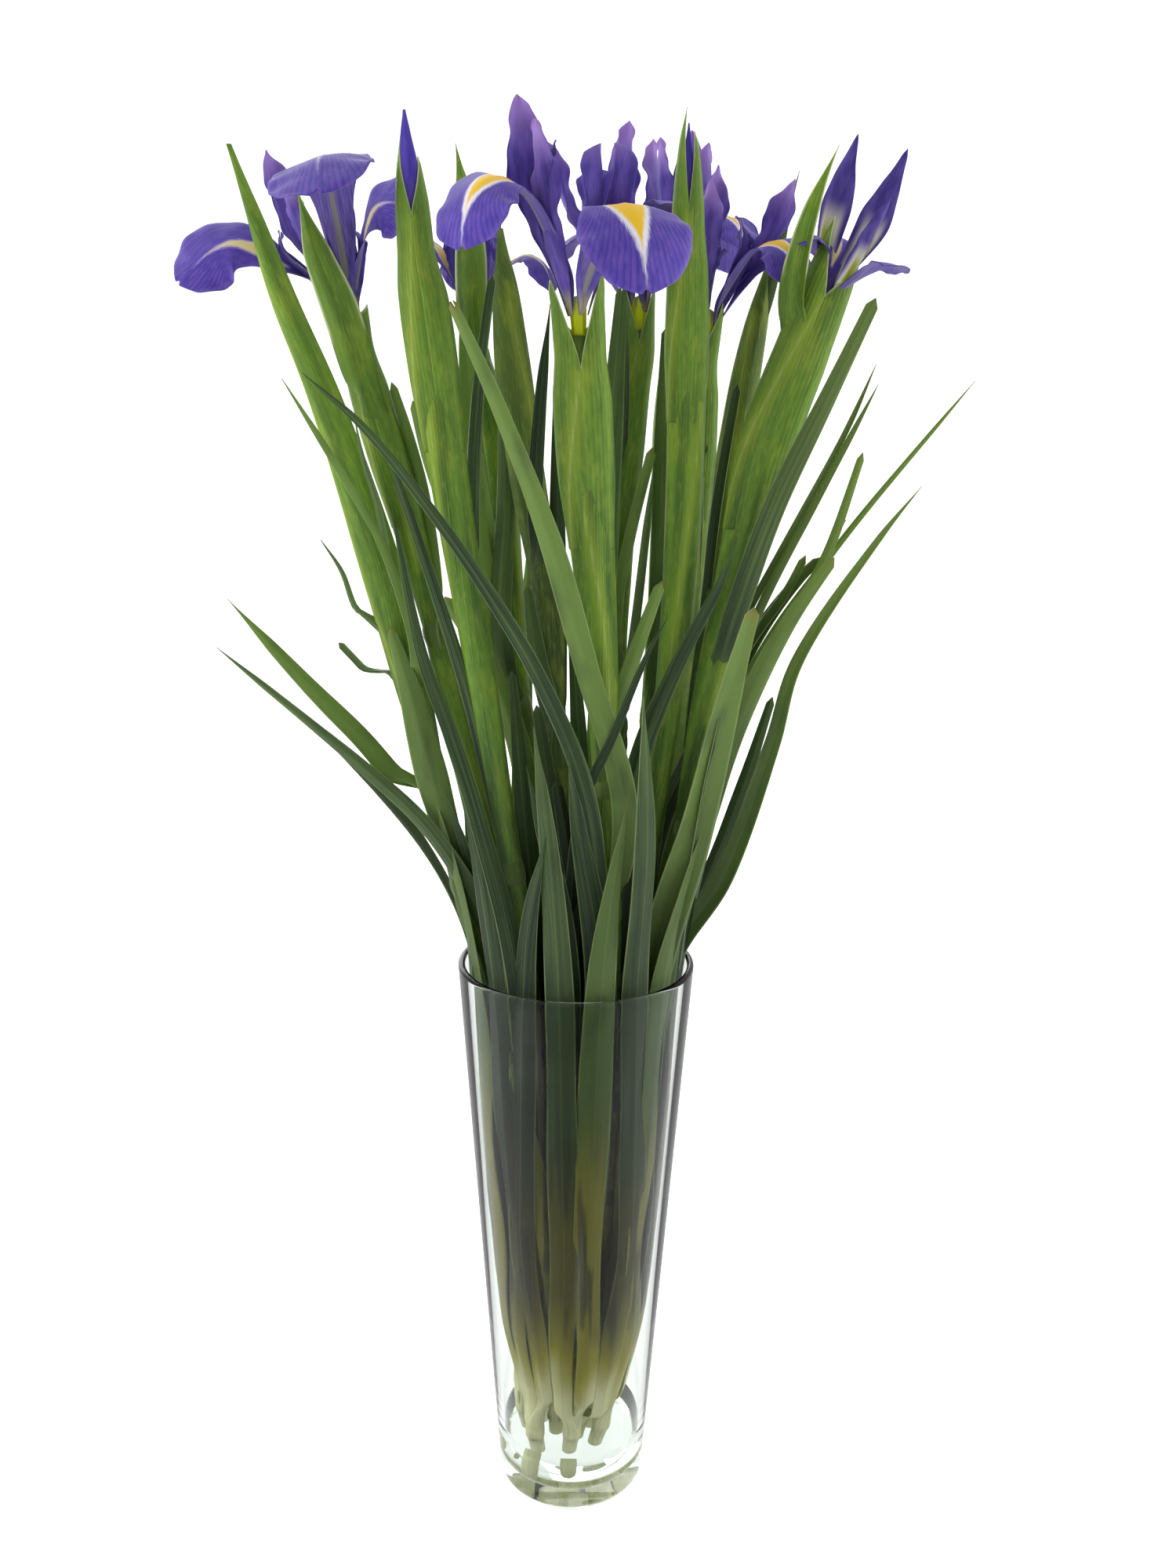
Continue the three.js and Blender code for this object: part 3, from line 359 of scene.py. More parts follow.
# Finishes: the share of light that a petal lets through and its roughness, how high the veins stand, and the rays on a
# fall, which fan out from a point this far along it in centimetres
PETAL_FINISH = (0.34, 0.6)
VEIN_RELIEF = 0.4
RAYS = 128
RAY_START = 4.6
BLEND = {"data_type": "RGBA"}
TIMES, LESS, LARGER = ({"operation": name} for name in ("MULTIPLY", "SUBTRACT", "MAXIMUM"))

# Room: sizes in metres, and each light's place, the height it points at, its width and its power
TABLE = {"half": 6, "gap": 0.6}
LIGHTS = [
    ("window_behind", (-0.5, 1.5, 1.1), 0.5, 1.6, 22),
    ("window_left", (-1.5, -0.2, 1.0), 0.45, 1.0, 17),
    ("window_right", (1.5, 0.0, 1.0), 0.45, 1.0, 12),
    ("front_fill", (0.3, -1.6, 1.5), 0.5, 1.4, 4),
]
CAMERA = {"place": (0.005, -0.6774, 0.5609), "down": 14.02, "roll": 0.69, "sensor": 36, "lens": 32.4}


def linear(hex_colour):
    """An sRGB hex colour as linear red, green, blue and alpha."""
    channels = [int(hex_colour[i : i + 2], 16) / 255 for i in (1, 3, 5)]
    return [c / 12.92 if c <= 0.04045 else ((c + 0.055) / 1.055) ** 2.4 for c in channels] + [1]


def smooth(edge_a, edge_b, value):
    """How far a value lies from one edge to the other, eased at both."""
    share = min(1, max(0, (value - edge_a) / (edge_b - edge_a)))
    return share * share * (3 - 2 * share)


def straight(rows, at):
    """The value at a place in rows of [place, value], in straight steps."""
    if at <= rows[0][0]:
        return rows[0][1]
    for (start, before), (end, after) in zip(rows, rows[1:]):
        if at <= end:
            return before + (after - before) * (at - start) / (end - start)
    return rows[-1][1]


def rounded(rows, at):
    """The same, through a curve with no corners."""
    reach = (rows[-1][0] - rows[0][0]) * 0.045
    return sum(straight(rows, at + reach * k) for k in (-1, -0.5, 0, 0.5, 1)) / 5


def even_rows(values):
    """Rows for values that are evenly spread from 0 to 1."""
    return [[i / (len(values) - 1), value] for i, value in enumerate(values)]


def curve_points(route, count):
    """Points on the centripetal curve through a route."""
    points = [Vector(p) for p in route]
    points = [points[0] * 2 - points[1], *points, points[-1] * 2 - points[-2]]
    spans = len(points) - 3
    result = []
    for i in range(count + 1):
        at = i / count * spans
        k = min(int(at), spans - 1)
        t = at - k
        a, b, c, d = points[k : k + 4]
        first, middle, last = ((q - p).length ** 0.5 or 1 for p, q in ((a, b), (b, c), (c, d)))
        leave = ((b - a) / first - (c - a) / (first + middle) + (c - b) / middle) * middle
        arrive = ((c - b) / middle - (d - b) / (middle + last) + (d - c) / last) * middle
        bend = c * 3 - b * 3 - leave * 2 - arrive
        result.append(b + leave * t + bend * t * t + (b * 2 - c * 2 + leave + arrive) * t**3)
    return result


def ring_point(turn, across, deep, up=0):
    """A point on an oval ring round the upright axis."""
    return Vector((math.cos(turn) * across, math.sin(turn) * deep, up))


class Line:
    """A route with its points found by share of its length or by height."""

    def __init__(self, route):
        self.points = curve_points(route, 200)
        self.lengths = [0.0]
        for a, b in zip(self.points, self.points[1:]):
            self.lengths.append(self.lengths[-1] + (b - a).length)
        self.length = self.lengths[-1]

    def at(self, share):
        along = min(max(share, 0), 1) * self.length
        low, high = 0, len(self.lengths) - 1
        while high - low > 1:
            middle = (low + high) // 2
            if self.lengths[middle] <= along:
                low = middle
            else:
                high = middle
        part = (along - self.lengths[low]) / max(self.lengths[high] - self.lengths[low], 1e-9)
        return self.points[low].lerp(self.points[high], part)

    def direction(self, share):
        return (self.at(share + 0.01) - self.at(share - 0.01)).normalized()

    def at_height(self, height):
        for a, b in zip(self.points, self.points[1:]):
            if b.z >= height:
                return a.lerp(b, (height - a.z) / (b.z - a.z))
        return self.points[-1].copy()


def shaped_grid(across, along, place, closed=False):
    """A grid of faces whose corners go to place(u, v), which gives a point and two UV pairs. The third is u and v."""
    shape = bmesh.new()
    size_uv = shape.loops.layers.uv.new("Size")
    share_uv = shape.loops.layers.uv.new("Share")
    grid_uv = shape.loops.layers.uv.new("Grid")
    bmesh.ops.create_grid(shape, x_segments=across, y_segments=along, size=0.5)
    uv_of = {}
    for vert in shape.verts:
        u, v = vert.co.x + 0.5, vert.co.y + 0.5
        point, size, share = place(u, v)
        vert.co = point * MM
        uv_of[vert] = size, share, (u, v)
    for face in shape.faces:
        face.smooth = True
        for loop in face.loops:
            loop[size_uv].uv, loop[share_uv].uv, loop[grid_uv].uv = uv_of[loop.vert]
    if closed:
        bmesh.ops.remove_doubles(shape, verts=shape.verts, dist=SAME_POINT)
        rims = [edge for edge in shape.edges if edge.is_boundary]
        bmesh.ops.holes_fill(shape, edges=rims, sides=0)
        bmesh.ops.recalc_face_normals(shape, faces=shape.faces)
    return shape


def piece(name, shapes, materials, node, thickness=0):
    """One object from bmeshes, each paired with the number of its material."""
    whole = bmesh.new()
    for shape, number in shapes:
        for face in shape.faces:
            face.material_index = number
        part = bpy.data.meshes.new(name)
        shape.to_mesh(part)
        whole.from_mesh(part)
        shape.free()
        bpy.data.meshes.remove(part)
    mesh = bpy.data.meshes.new(name)
    whole.to_mesh(mesh)
    whole.free()
    thing = bpy.data.objects.new(name, mesh)
    bpy.context.collection.objects.link(thing)
    for material in materials:
        mesh.materials.append(material)
    if thickness:
        wall = thing.modifiers.new("Thickness", "SOLIDIFY")
        wall.thickness = thickness * MM
        wall.offset = 0
    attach(thing, "root")
    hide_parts(node)
    return thing


def stem_girth(sheath, height):
    """A stem's half width and half depth at a height, its sheath with it."""
    start = sheath[0][0]
    if height < start:
        radius = straight(STEM_RADIUS, height)
        return radius, radius
    return tuple(rounded([[row[0], row[k]] for row in sheath], height) for k in (1, 2))


def stem_shape(stem, line, seed):
    """The stalk below and the wrapped sheath above, as one closed loft."""
    top = stem["sheath"][-1][0]
    draw = random.Random(seed)
    lap = draw.uniform(0.1, 0.4)
    joints = [entry["joins"] for entry in stem["leaves"]]
    sheath_from = stem["sheath"][0][0]

    def place(u, v):
        height = CUT_HEIGHT + (top - CUT_HEIGHT) * v
        across, deep = stem_girth(stem["sheath"], height)
        knot = sum(math.exp(-(((height - joint) / 6) ** 2)) for joint in joints if joint < sheath_from) * 0.4
        turn = u * math.tau
        wrapped = smooth(sheath_from, sheath_from + 30, height) * smooth(top, top - 25, height)
        wrapped *= smooth(0.6, 5, across)
        edge = 0.7 * wrapped * ((u - lap) % 1)
        keel = 0.9 * wrapped * max(0, math.cos(turn - math.pi * 0.5)) ** 8
        slant = lap + 0.12 * math.sin(height / 70 + seed)
        seam = abs((u - slant + 0.5) % 1 - 0.5) + 0.5 * (1 - wrapped)
        drawn_in = smooth(top - 20, top, height) if stem["sheath"][-1][1] > 2 else 0
        across += (TUBE_RADIUS["foot"] + 1.2 - across) * drawn_in * 0.8
        deep += (TUBE_RADIUS["foot"] + 0.8 - deep) * drawn_in * 0.8
        reach = 1 + 0.012 * math.cos(turn * 9)
        point = line.at_height(height) + ring_point(-turn, across + knot, deep + knot) * reach
        point += ring_point(-turn, 1, 1) * (edge + keel)
        return point, (u * across * 0.6, height * 0.1), (1, min(seam, 0.5))

    return shaped_grid(*GRIDS["stem"], place, closed=True)


def leaf_shape(entry, stem, line, seed):
    """A folded blade that runs down its route and clasps its stem. Some blunt tips are torn."""
    draw = random.Random(seed)
    foot = line.at_height(entry["joins"])
    run = Line([*entry["route"], list(foot)])
    widths = even_rows([*entry["widths"], 8])
    valve = entry["fold"] == VALVE_FOLD
    clasp = CLASP_LENGTH * (1.4 if valve else 1)
    face_at = run.direction(0.5).cross(Vector((0, 1, 0))).normalized()
    face_at = run.direction(0.5).cross(face_at)
    away = (run.at(0.4) - foot).normalized()
    outward = 1 if face_at.dot(away) >= 0 else -1
    heading = run.at(1 - clasp * 0.9 / run.length) - foot
    heading = math.atan2(heading.y, heading.x)
    blunt = entry["widths"][0] >= 3 and not valve
    tip_length = entry["widths"][0] * 0.7 if blunt else min(30, run.length * 0.3)
    twist = math.radians(draw.uniform(-14, 14))
    phase = draw.uniform(0, math.tau)
    tone = draw.uniform(0, 1)
    sheath_from = stem["sheath"][0][0]
    jag = [draw.uniform(0, 1) for _ in range(12)]
    torn = blunt and draw.random() < 0.12

    def place(u, v):
        side_share = 2 * u - 1
        start = jag[int(u * 11)] * 3 / run.length if torn else 0
        share = start + (1 - start) * v
        along = share * run.length
        direction = run.direction(share)
        side = direction.cross(Vector((0, 1, 0))).normalized()
        turn = math.radians(entry["turn"]) + twist * (0.5 - share)
        side.rotate(Matrix.Rotation(turn, 3, direction))
        face = direction.cross(side) * outward
        width = rounded(widths, share)
        if blunt:
            width *= math.sqrt(1 - max(0, 1 - along / tip_length) ** 2) * 0.96 + 0.04
        else:
            width *= (1 - max(0, 1 - along / tip_length) ** 1.6) * 0.97 + 0.03
        fold = entry["fold"] * width * (1 - abs(side_share) ** 1.25)
        wave = 0.05 * width * side_share**3 * math.sin(along / 16 + phase)
        blade = run.at(share) + side * (side_share * width / 2) + face * (fold + wave)
        height = foot.z + (run.length - along) * max(0.35, abs(direction.z))
        hold = smooth(clasp, clasp * 0.35, run.length - along)
        if hold > 0:
            centre = line.at_height(height)
            across, deep = stem_girth(stem["sheath"], height)
            turn = heading + side_share * 2.7 * (1 if valve else 0.96)
            collar = 0.55 + 0.25 * side_share
            # A blade that springs from the sheath sinks into it; one lower down laps round the stalk.
            collar -= 1.7 * smooth(0.35, 0.9, hold) * smooth(sheath_from, sheath_from + 12, height)
            collar -= 1.5 * smooth(clasp * 0.35, 0, run.length - along)
            blade = blade.lerp(centre + ring_point(turn, across + collar, deep + collar), hold)
        across_now = side_share * width / 2
        edge = max(min(1 - abs(side_share), share * 6), smooth(0.45, 0.7, share)) if valve else share
        return blade, (across_now * 0.1 + seed % 7, along * 0.1), (edge, 0.5 if valve else tone)

    rows = max(LEAF_GRID["least"], int(run.length / LEAF_GRID["gap"]))
    return shaped_grid(LEAF_GRID["across"], rows, place)


def leaning(seat, lean):
    """Leans a flower by an angle towards a direction, with its foot at the seat."""
    angle, direction = (math.radians(value) for value in lean)
    axis = Vector((-math.sin(direction), math.cos(direction), 0))
    return Matrix.Translation(seat) @ Matrix.Rotation(angle, 4, axis)


def petal_shape(kind, form, matrix, seed, tone):
    """A petal that leaves the tube in one direction and bends along its length."""
    draw = random.Random(seed)
    direction, rise, size, droop, roll = [*form, 0, 0][:5]
    length = kind["width"][-1][0]

    def angle_at(at, rows_of=straight):
        blade = max(0, (at - HAFT_LENGTH) / (length - HAFT_LENGTH))
        return math.radians(rows_of(kind["bend"], at) + rise - droop * blade)

    outs, ups = [CLAW["radius"]], [TUBE_HEIGHT - CLAW["sunk"]]
    for at in range(length + 6):
        angle = angle_at(at + 0.5)
        reach = size * (CLAW["stretch"] if at < CLAW["length"] else 1)
        outs.append(outs[-1] + reach * math.cos(angle))
        ups.append(ups[-1] + reach * math.sin(angle))
    heading = math.radians(direction)
    radial = ring_point(heading, 1, 1)
    sideways = Vector((-math.sin(heading), math.cos(heading), 0))
    phase = draw.uniform(0, math.tau)
    curl = draw.uniform(-0.12, 0.12)
    columns, rows = kind["grid"]

    def place(u, v):
        share = 2 * u - 1
        notch = kind["notch"] * math.exp(-((share / 0.22) ** 2))
        corner = 0.05 * abs(share) ** 3
        at = v * length * (1 - notch - corner)
        spot = int(at)
        part = at - spot
        out = outs[spot] * (1 - part) + outs[spot + 1] * part
        up = ups[spot] * (1 - part) + ups[spot + 1] * part
        angle = angle_at(at, rounded)
        turn = math.radians(roll) * smooth(0, HAFT_LENGTH + 12, at)
        level = radial * -math.sin(angle) + Vector((0, 0, math.cos(angle)))
        side = sideways * math.cos(turn) + level * math.sin(turn)
        face = level * math.cos(turn) - sideways * math.sin(turn)
        width = rounded(kind["width"], at) * size
        end = max(0, (at - (length - kind["round_end"])) / kind["round_end"])
        width *= math.sqrt(max(0.02, 1 - min(1, end) ** 2.4 * 0.9))
        edge = abs(share)
        free = smooth(kind["ruffle_from"] - 12, kind["ruffle_from"] + 10, at)
        wave = math.sin(at / kind["waves"] * math.tau * 0.5 + phase + share * 1.3)
        fine = math.sin(at / kind["waves"] * math.tau * 1.3 + phase * 2 - share * 2.1) * 0.35
        lift = rounded(kind["cup"], at) * width * edge**1.7
        lift += kind["ruffle"] * size * free * edge**2.2 * (wave + fine) + curl * share * width * free
        lift += 0.35 * size * math.exp(-((share / 0.09) ** 2))
        point = radial * out + Vector((0, 0, up)) + side * (share * width / 2) + face * lift
        return matrix @ point, (share * width * 0.05 / size, at * 0.1), (u, tone)

    return shaped_grid(columns, rows, place)


def tube_shape(seat, matrix):
    """The flower's pale tube, with a low rib under each petal."""

    def place(u, v):
        turn = u * math.tau
        radius = TUBE_RADIUS["foot"] + (TUBE_RADIUS["mouth"] - TUBE_RADIUS["foot"]) * v * v
        radius *= (1 + 0.06 * math.cos(turn * 6)) * math.sqrt(1 - max(0, (v - 0.6) / 0.41) ** 2)
        ring = ring_point(turn, radius, radius)
        low = Vector(seat) + ring
        high = matrix @ (ring + Vector((0, 0, TUBE_HEIGHT)))
        return low.lerp(high, v), (u * 2, v), (u, v)

    return shaped_grid(*GRIDS["tube"], place, closed=True)


def bud_shape(seat, form, matrix):
    """Furled petals, wound round each other to a point."""

    def place(u, v):
        turn = u * math.tau
        lobe = 1 + 0.13 * math.cos(turn * 3 + v * 3.4) + 0.04 * math.cos(turn * 6 + v * 5)
        radius = form["radius"] * rounded(BUD_GIRTHS, v) * lobe
        ring = ring_point(turn, radius, radius, v * form["height"])
        upright = Vector(seat) + ring
        point = upright.lerp(matrix @ ring, min(1, v * 4))
        return point, (u * 1.4, v * form["height"] * 0.1), (u, v)

    return shaped_grid(*GRIDS["bud"], place, closed=True)


def wrap_shape(seat, spathe, matrix, stem, line):
    """The two valves of a spathe: a shell round the flower's foot, open in a V at the front."""
    tips = spathe["tips"]

    def place(u, v):
        turn = math.radians(-90 + 360 * u)
        from_front = 1 - abs(2 * u - 1)
        tip = tips[0 if u < 0.5 else 1]
        if from_front < spathe["open"]:
            top = spathe["slit"] + (tip - spathe["slit"]) * (from_front / spathe["open"]) ** 0.8
        else:
            back = (from_front - spathe["open"]) / (1 - spathe["open"])
            middle = spathe["slit"] + (min(tips) - spathe["slit"]) * 0.35
            top = tip + (middle - tip) * back**0.8
        rise = -SPATHE_DEPTH + (top + SPATHE_DEPTH) * v
        low_across, low_deep = stem_girth(stem["sheath"], seat.z + min(rise, 0))
        high_across, high_deep = (rounded([[row[0], row[k]] for row in spathe["girth"]], rise) for k in (1, 2))
        above = smooth(-26, 0, rise)
        loose = 1.2 * smooth(-SPATHE_DEPTH, -55, rise) + 0.3
        across = (low_across + loose) * (1 - above) + high_across * above
        deep = (low_deep + loose) * (1 - above) + high_deep * above
        ring = ring_point(turn, across, deep)
        low = line.at_height(seat.z + rise) + ring
        high = matrix @ (ring + Vector((0, 0, rise)))
        overlap = abs((u + 0.0022 * (spathe["slit"] - rise) + 0.5) % 1 - 0.5) if rise < spathe["slit"] + 1 else 0.5
        return low.lerp(high, above), (u * 4, rise * 0.1), (min(1, (1 - v) * 11), overlap)

    return shaped_grid(*GRIDS["spathe"], place)


def add_node(tree, kind, inputs=(), settings=None, output=0):
    """Adds a node and gives one of its outputs. An input is a number, a hex colour or another node's output."""
    node = tree.nodes.new("ShaderNode" + kind)
    for name, value in (settings or {}).items():
        setattr(node, name, value)
    for name, value in inputs.items() if isinstance(inputs, dict) else enumerate(inputs):
        if isinstance(value, bpy.types.NodeSocket):
            tree.links.new(value, node.inputs[name])
        else:
            node.inputs[name].default_value = linear(value) if isinstance(value, str) else value
    return node.outputs[output] if node.outputs else None


def new_material(name):
    """A material with no nodes yet, and add_node for its tree."""
    material = bpy.data.materials.new(name)
    material.use_nodes = True
    material.node_tree.nodes.clear()
    return material, partial(add_node, material.node_tree)


def uv_parts(add, name):
    """A UV map of the piece's own, whole and as its two parts."""
    uv = add("UVMap", settings={"uv_map": name})
    first, second, _ = add("SeparateXYZ", (uv,)).node.outputs
    return uv, first, second


def stretched_noise(add, vector, across, along, detail=3.0):
    """Noise with its own scale across and along a blade."""
    scaled = add("Mapping", {"Vector": vector, "Scale": (across, along, 1)})
    return add("TexNoise", {"Vector": scaled, "Scale": 1.0, "Detail": detail})


def ripples(add, value, gap):
    """A wave from -1 to 1 that comes back after each gap."""
    return add("Math", (add("Math", (value, math.tau / gap), TIMES),), {"operation": "SINE"})


def from_middle(add, value, middle=0.5):
    """How far a value lies from its middle, on either side."""
    return add("Math", (add("Math", (value, middle), LESS),), {"operation": "ABSOLUTE"})


def shifted(add, value, by, reach):
    """A value moved by another, which runs from 0 to 1, as far as the reach from end to end."""
    return add("Math", (add("Math", (by, 0.5), LESS), reach, value), {"operation": "MULTIPLY_ADD"})


def within(add, *spans):
    """How much a place lies within all spans: each has a value, its start and end, and what the end and start give."""
    share = None
    for value, start, end, at_end, *at_start in spans:
        eased = add("MapRange", (value, start, end, *(at_start or [0]), at_end), {"interpolation_type": "SMOOTHSTEP"})
        share = eased if share is None else add("Math", (share, eased), TIMES)
    return share


def painted(add, colour, *layers):
    """A colour with others laid over it, each within its own spans."""
    for over, *spans in layers:
        colour = add("Mix", {0: within(add, *spans), 6: colour, 7: over}, BLEND, 2)
    return colour


def thin_surface(add, colour, glow, through, roughness, relief=None, bump=0.2, sheen=0.0):
    """A surface that shines a little and lets light through. That light takes on a share of the glow's colour."""
    share, tint = glow
    inputs = {"Base Color": colour, "Roughness": roughness, "Specular IOR Level": 0.4, "Sheen Weight": sheen}
    if relief is not None:
        inputs["Normal"] = add("Bump", {"Strength": bump, "Distance": VEIN_RELIEF * MM, "Height": relief})
    front = add("BsdfPrincipled", inputs)
    behind = add("BsdfTranslucent", {"Color": add("Mix", {0: share, 6: colour, 7: tint}, BLEND, 2)})
    add("OutputMaterial", {"Surface": add("MixShader", {0: through, 1: front, 2: behind})})


def by_height(add, colour, tone=1.0):
    """Painted shade darkens greens from about 480 mm down to the rim and below, leaves of a low tone more, with dark
    brown patches of painted shadow lower in the vase. Greens also turn olive brown low in the vase, some sooner than
    others, and pale yellow towards the cut ends.
    """
    coords = add("TexCoord", output="Object")
    _, _, up = add("SeparateXYZ", (coords,)).node.outputs
    height = shifted(add, up, stretched_noise(add, coords, 60, 60, 2), 0.08)
    late = shifted(add, height, tone, -0.09)
    shadows = stretched_noise(add, coords, 170, 170, 2)
    return painted(
        add,
        colour,
        # Painted shade: greens darken from about 480 mm down past the rim, and leaves of a low tone darken more.
        ("#16291a", (height, 0.48, 0.3, 0.5)),
        ("#121c0a", (height, 0.34, 0.27, 1), (tone, 0.6, 0.15, 0.7)),
        (painted(add, "#544a12", ("#93892a", (tone, 0.3, 0.8, 1))), (late, 0.235, 0.165, 0.9)),
        # Dark brown patches of painted shadow, between about 50 and 260 mm up.
        ("#2a200c", (up, 0.26, 0.17, 1), (up, 0.05, 0.1, 1), (shadows, 0.48, 0.6, 0.75)),
        ("#c4ba2e", (height, 0.13, 0.07, 0.75)),
        ("#fffcd2", (height, 0.09, 0.04, 1)),
    )


def leaf_material(name, deep, fresh, glow):
    """Live leaf: satin, blue-green, with fine lengthwise veins and a browned tip. Painted light makes it a lighter
    yellow-green on the right and high up, and painted rim light makes its margins pale.
    """
    material, add = new_material(name)
    size, across, _ = uv_parts(add, "Size")
    _, share, tone = uv_parts(add, "Share")
    _, side, _ = uv_parts(add, "Grid")
    side = from_middle(add, side)
    right, _, up = add("SeparateXYZ", (add("TexCoord", output="Object"),)).node.outputs
    # Veins lie 0.9 mm apart, and 10 mm of blade is one unit here.
    veins = ripples(add, across, 0.09)
    colour = painted(
        add,
        deep,
        (fresh, (tone, 0.2, 0.85, 1)),
        (fresh, (stretched_noise(add, size, 9, 0.12), 0.35, 0.75, 0.45)),
        (deep, (stretched_noise(add, size, 0.8, 0.25, 2), 0.45, 0.75, 0.5)),
        ("#93ad70", (veins, 0.1, 1, 0.14)),
        ("#678034", (share, 0.78, 0.97, 0.9)),
        ("#8f7a42", (share, 0.03, 0, 0.8), (tone, 0.4, 0.8, 1)),
        # Painted light: a lighter yellow-green on the right of the bunch and high up.
        ("#7c9340", (right, 0.06, 0.12, 1), (up, 0.36, 0.5, 0.5)),
    )
    colour = by_height(add, colour, tone)
    # Painted rim light makes the margins pale; the midrib is a paler green line.
    colour = painted(add, colour, ("#a8bb80", (side, 0.44, 0.5, 0.5)), ("#86a05c", (side, 0.05, 0, 0.2)))
    thin_surface(add, colour, (0.35, glow), 0.4, 0.4, veins, 0.25)
    return material


def sheath_material(name, deep, fresh):
    """Stalk and spathe: smooth green, with fine lengthwise veins, yellower patches and thin cream margins."""
    material, add = new_material(name)
    size, across, _ = uv_parts(add, "Size")
    _, edge, seam = uv_parts(add, "Share")
    flecks = stretched_noise(add, size, 10, 1.5)
    _, _, up = add("SeparateXYZ", (add("TexCoord", output="Object"),)).node.outputs
    # Veins lie 1.1 mm apart.
    veins = ripples(add, across, 0.11)
    colour = painted(
        add,
        deep,
        (fresh, (stretched_noise(add, size, 2.2, 0.1, 2), 0.3, 0.75, 0.8)),
        ("#8aab38", (up, 0.46, 0.62, 0.22)),
        ("#95a632", (stretched_noise(add, size, 1.1, 0.35), 0.5, 0.72, 0.5)),
        ("#b6c655", (flecks, 0.52, 0.7, 0.2)),
        (deep, (flecks, 0.46, 0.32, 0.3)),
        ("#9fb56c", (veins, 0.2, 1, 0.14)),
        ("#9fb536", (seam, 0.09, 0, 0.45)),
        ("#c3cf8e", (seam, 0.014, 0, 0.35)),
        ("#d5dcae", (edge, 0.2, 0.02, 0.8)),
    )
    colour = by_height(add, colour)
    thin_surface(add, colour, (0.5, "#b4cc48"), 0.34, 0.4, veins)
    return material


def fall_material():
    """Fall petal: violet velvet with darker rays, a yellow patch and a white rim round it."""
    material, add = new_material("iris_fall_petal")
    size, across, along = uv_parts(add, "Size")
    _, share, tone = uv_parts(add, "Share")
    clouds = stretched_noise(add, size, 3, 1.2)
    grain = stretched_noise(add, size, 22, 2.5, 2)
    beside = from_middle(add, across, 0)
    # The rays lie 1.5 mm apart half way down the blade: real ones are closer, too fine to show.
    turn = add("Math", (across, add("Math", (along, RAY_START), LESS)), {"operation": "ARCTAN2"})
    rays = add("Math", (turn, RAYS, add("Math", (clouds, 5), TIMES)), {"operation": "MULTIPLY_ADD"})
    rays = add("Math", (rays,), {"operation": "SINE"})
    colour = painted(
        add,
        "#5340ac",
        ("#6d50ba", (clouds, 0.35, 0.7, 1)),
        ("#2c1c78", (rays, -0.2, 0.9, 0.36)),
        ("#8a74c8", (from_middle(add, share), 0.4, 0.5, 0.3)),
        ("#6d5a86", (along, 3.4, 2.2, 0.6)),
        ("#a9a65a", (along, 1.3, 0.4, 0.8)),
    )
    # The patch is smaller and nearer the tube on flowers of a low tone.
    moved = add("Math", (along, within(add, (tone, 0, 1, 0, 1.1))), {"operation": "ADD"})
    lilac = painted(add, "#b9a8e0", ("#fbf8ff", (tone, 0.2, 0.8, 1)))
    yellow = painted(
        add, "#f3e9a8", ("#ffcf00", (tone, 0, 1, 1)), ("#ff9a00", (along, 7.4, 5, 0.85), (tone, 0.4, 1, 1))
    )
    # Pointed flares of colour are widest where the petal arches, and thin to a point.
    for flare, (start, widest, end), half, soft in (
        (lilac, (4.4, 6.1, 10.2), 0.85, 0.12),
        (yellow, (4.6, 6.2, 9.2), 0.72, 0.09),
    ):
        width = within(add, (moved, widest + 0.2, end, 0, half), (moved, start, widest, 1, 0.3), (tone, 0, 1, 1, 0.35))
        past = add("Math", (beside, shifted(add, width, grain, 0.3 * half)), LESS)
        started = (moved, start - 0.25, start + 0.1, 1)
        ended = (moved, end + 0.6, end - 0.2, 1)
        colour = painted(add, colour, (flare, (past, soft, -soft, 1), started, ended))
    thin_surface(add, colour, (0, colour), *PETAL_FINISH, grain, sheen=0.2)
    return material


def violet_material(name, deep, pale, vein, glow=None, tip=None):
    """Upright petal: violet velvet with fine lengthwise veins, paler at the tip where one is given."""
    material, add = new_material(name)
    size, across, along = uv_parts(add, "Size")
    grain = stretched_noise(add, size, 26, 0.9, 2)
    colour = painted(
        add,
        deep,
        (pale, (stretched_noise(add, size, 2.5, 0.6), 0.3, 0.7, 1)),
        (vein, (grain, 0.48, 0.68, 0.4)),
    )
    if tip:
        colour = painted(add, colour, (tip, (along, 6, 8.3, 0.75)), ("#a9a65a", (along, 1, 0.2, 0.7)))
    else:
        # A petal still half furled has a yellow-green patch that has not yet coloured.
        beside = from_middle(add, across, 0)
        for patch, half, low, high in (("#ded9d2", 0.75, 0.8, 5.6), ("#a8b02c", 0.48, 1.2, 4.9)):
            spans = (beside, half, half * 0.55, 1), (along, low, low + 1, 1), (along, high, high - 1.6, 1)
            colour = painted(add, colour, (patch, *spans))
    thin_surface(add, colour, (0.3, glow or colour), *PETAL_FINISH, grain, sheen=0.2)
    return material


def underside_material():
    """Underside of a fall: dull violet with a greenish midrib."""
    material, add = new_material("iris_fall_underside")
    size, across, along = uv_parts(add, "Size")
    grain = stretched_noise(add, size, 20, 0.8, 2)
    colour = painted(
        add,
        "#4d3c90",
        ("#7460ae", (grain, 0.35, 0.7, 1)),
        ("#8c8a5e", (from_middle(add, across, 0), 0.22, 0.04, 1), (along, 8, 3, 0.7)),
    )
    thin_surface(add, colour, (0, colour), *PETAL_FINISH, grain, sheen=0.2)
    return material


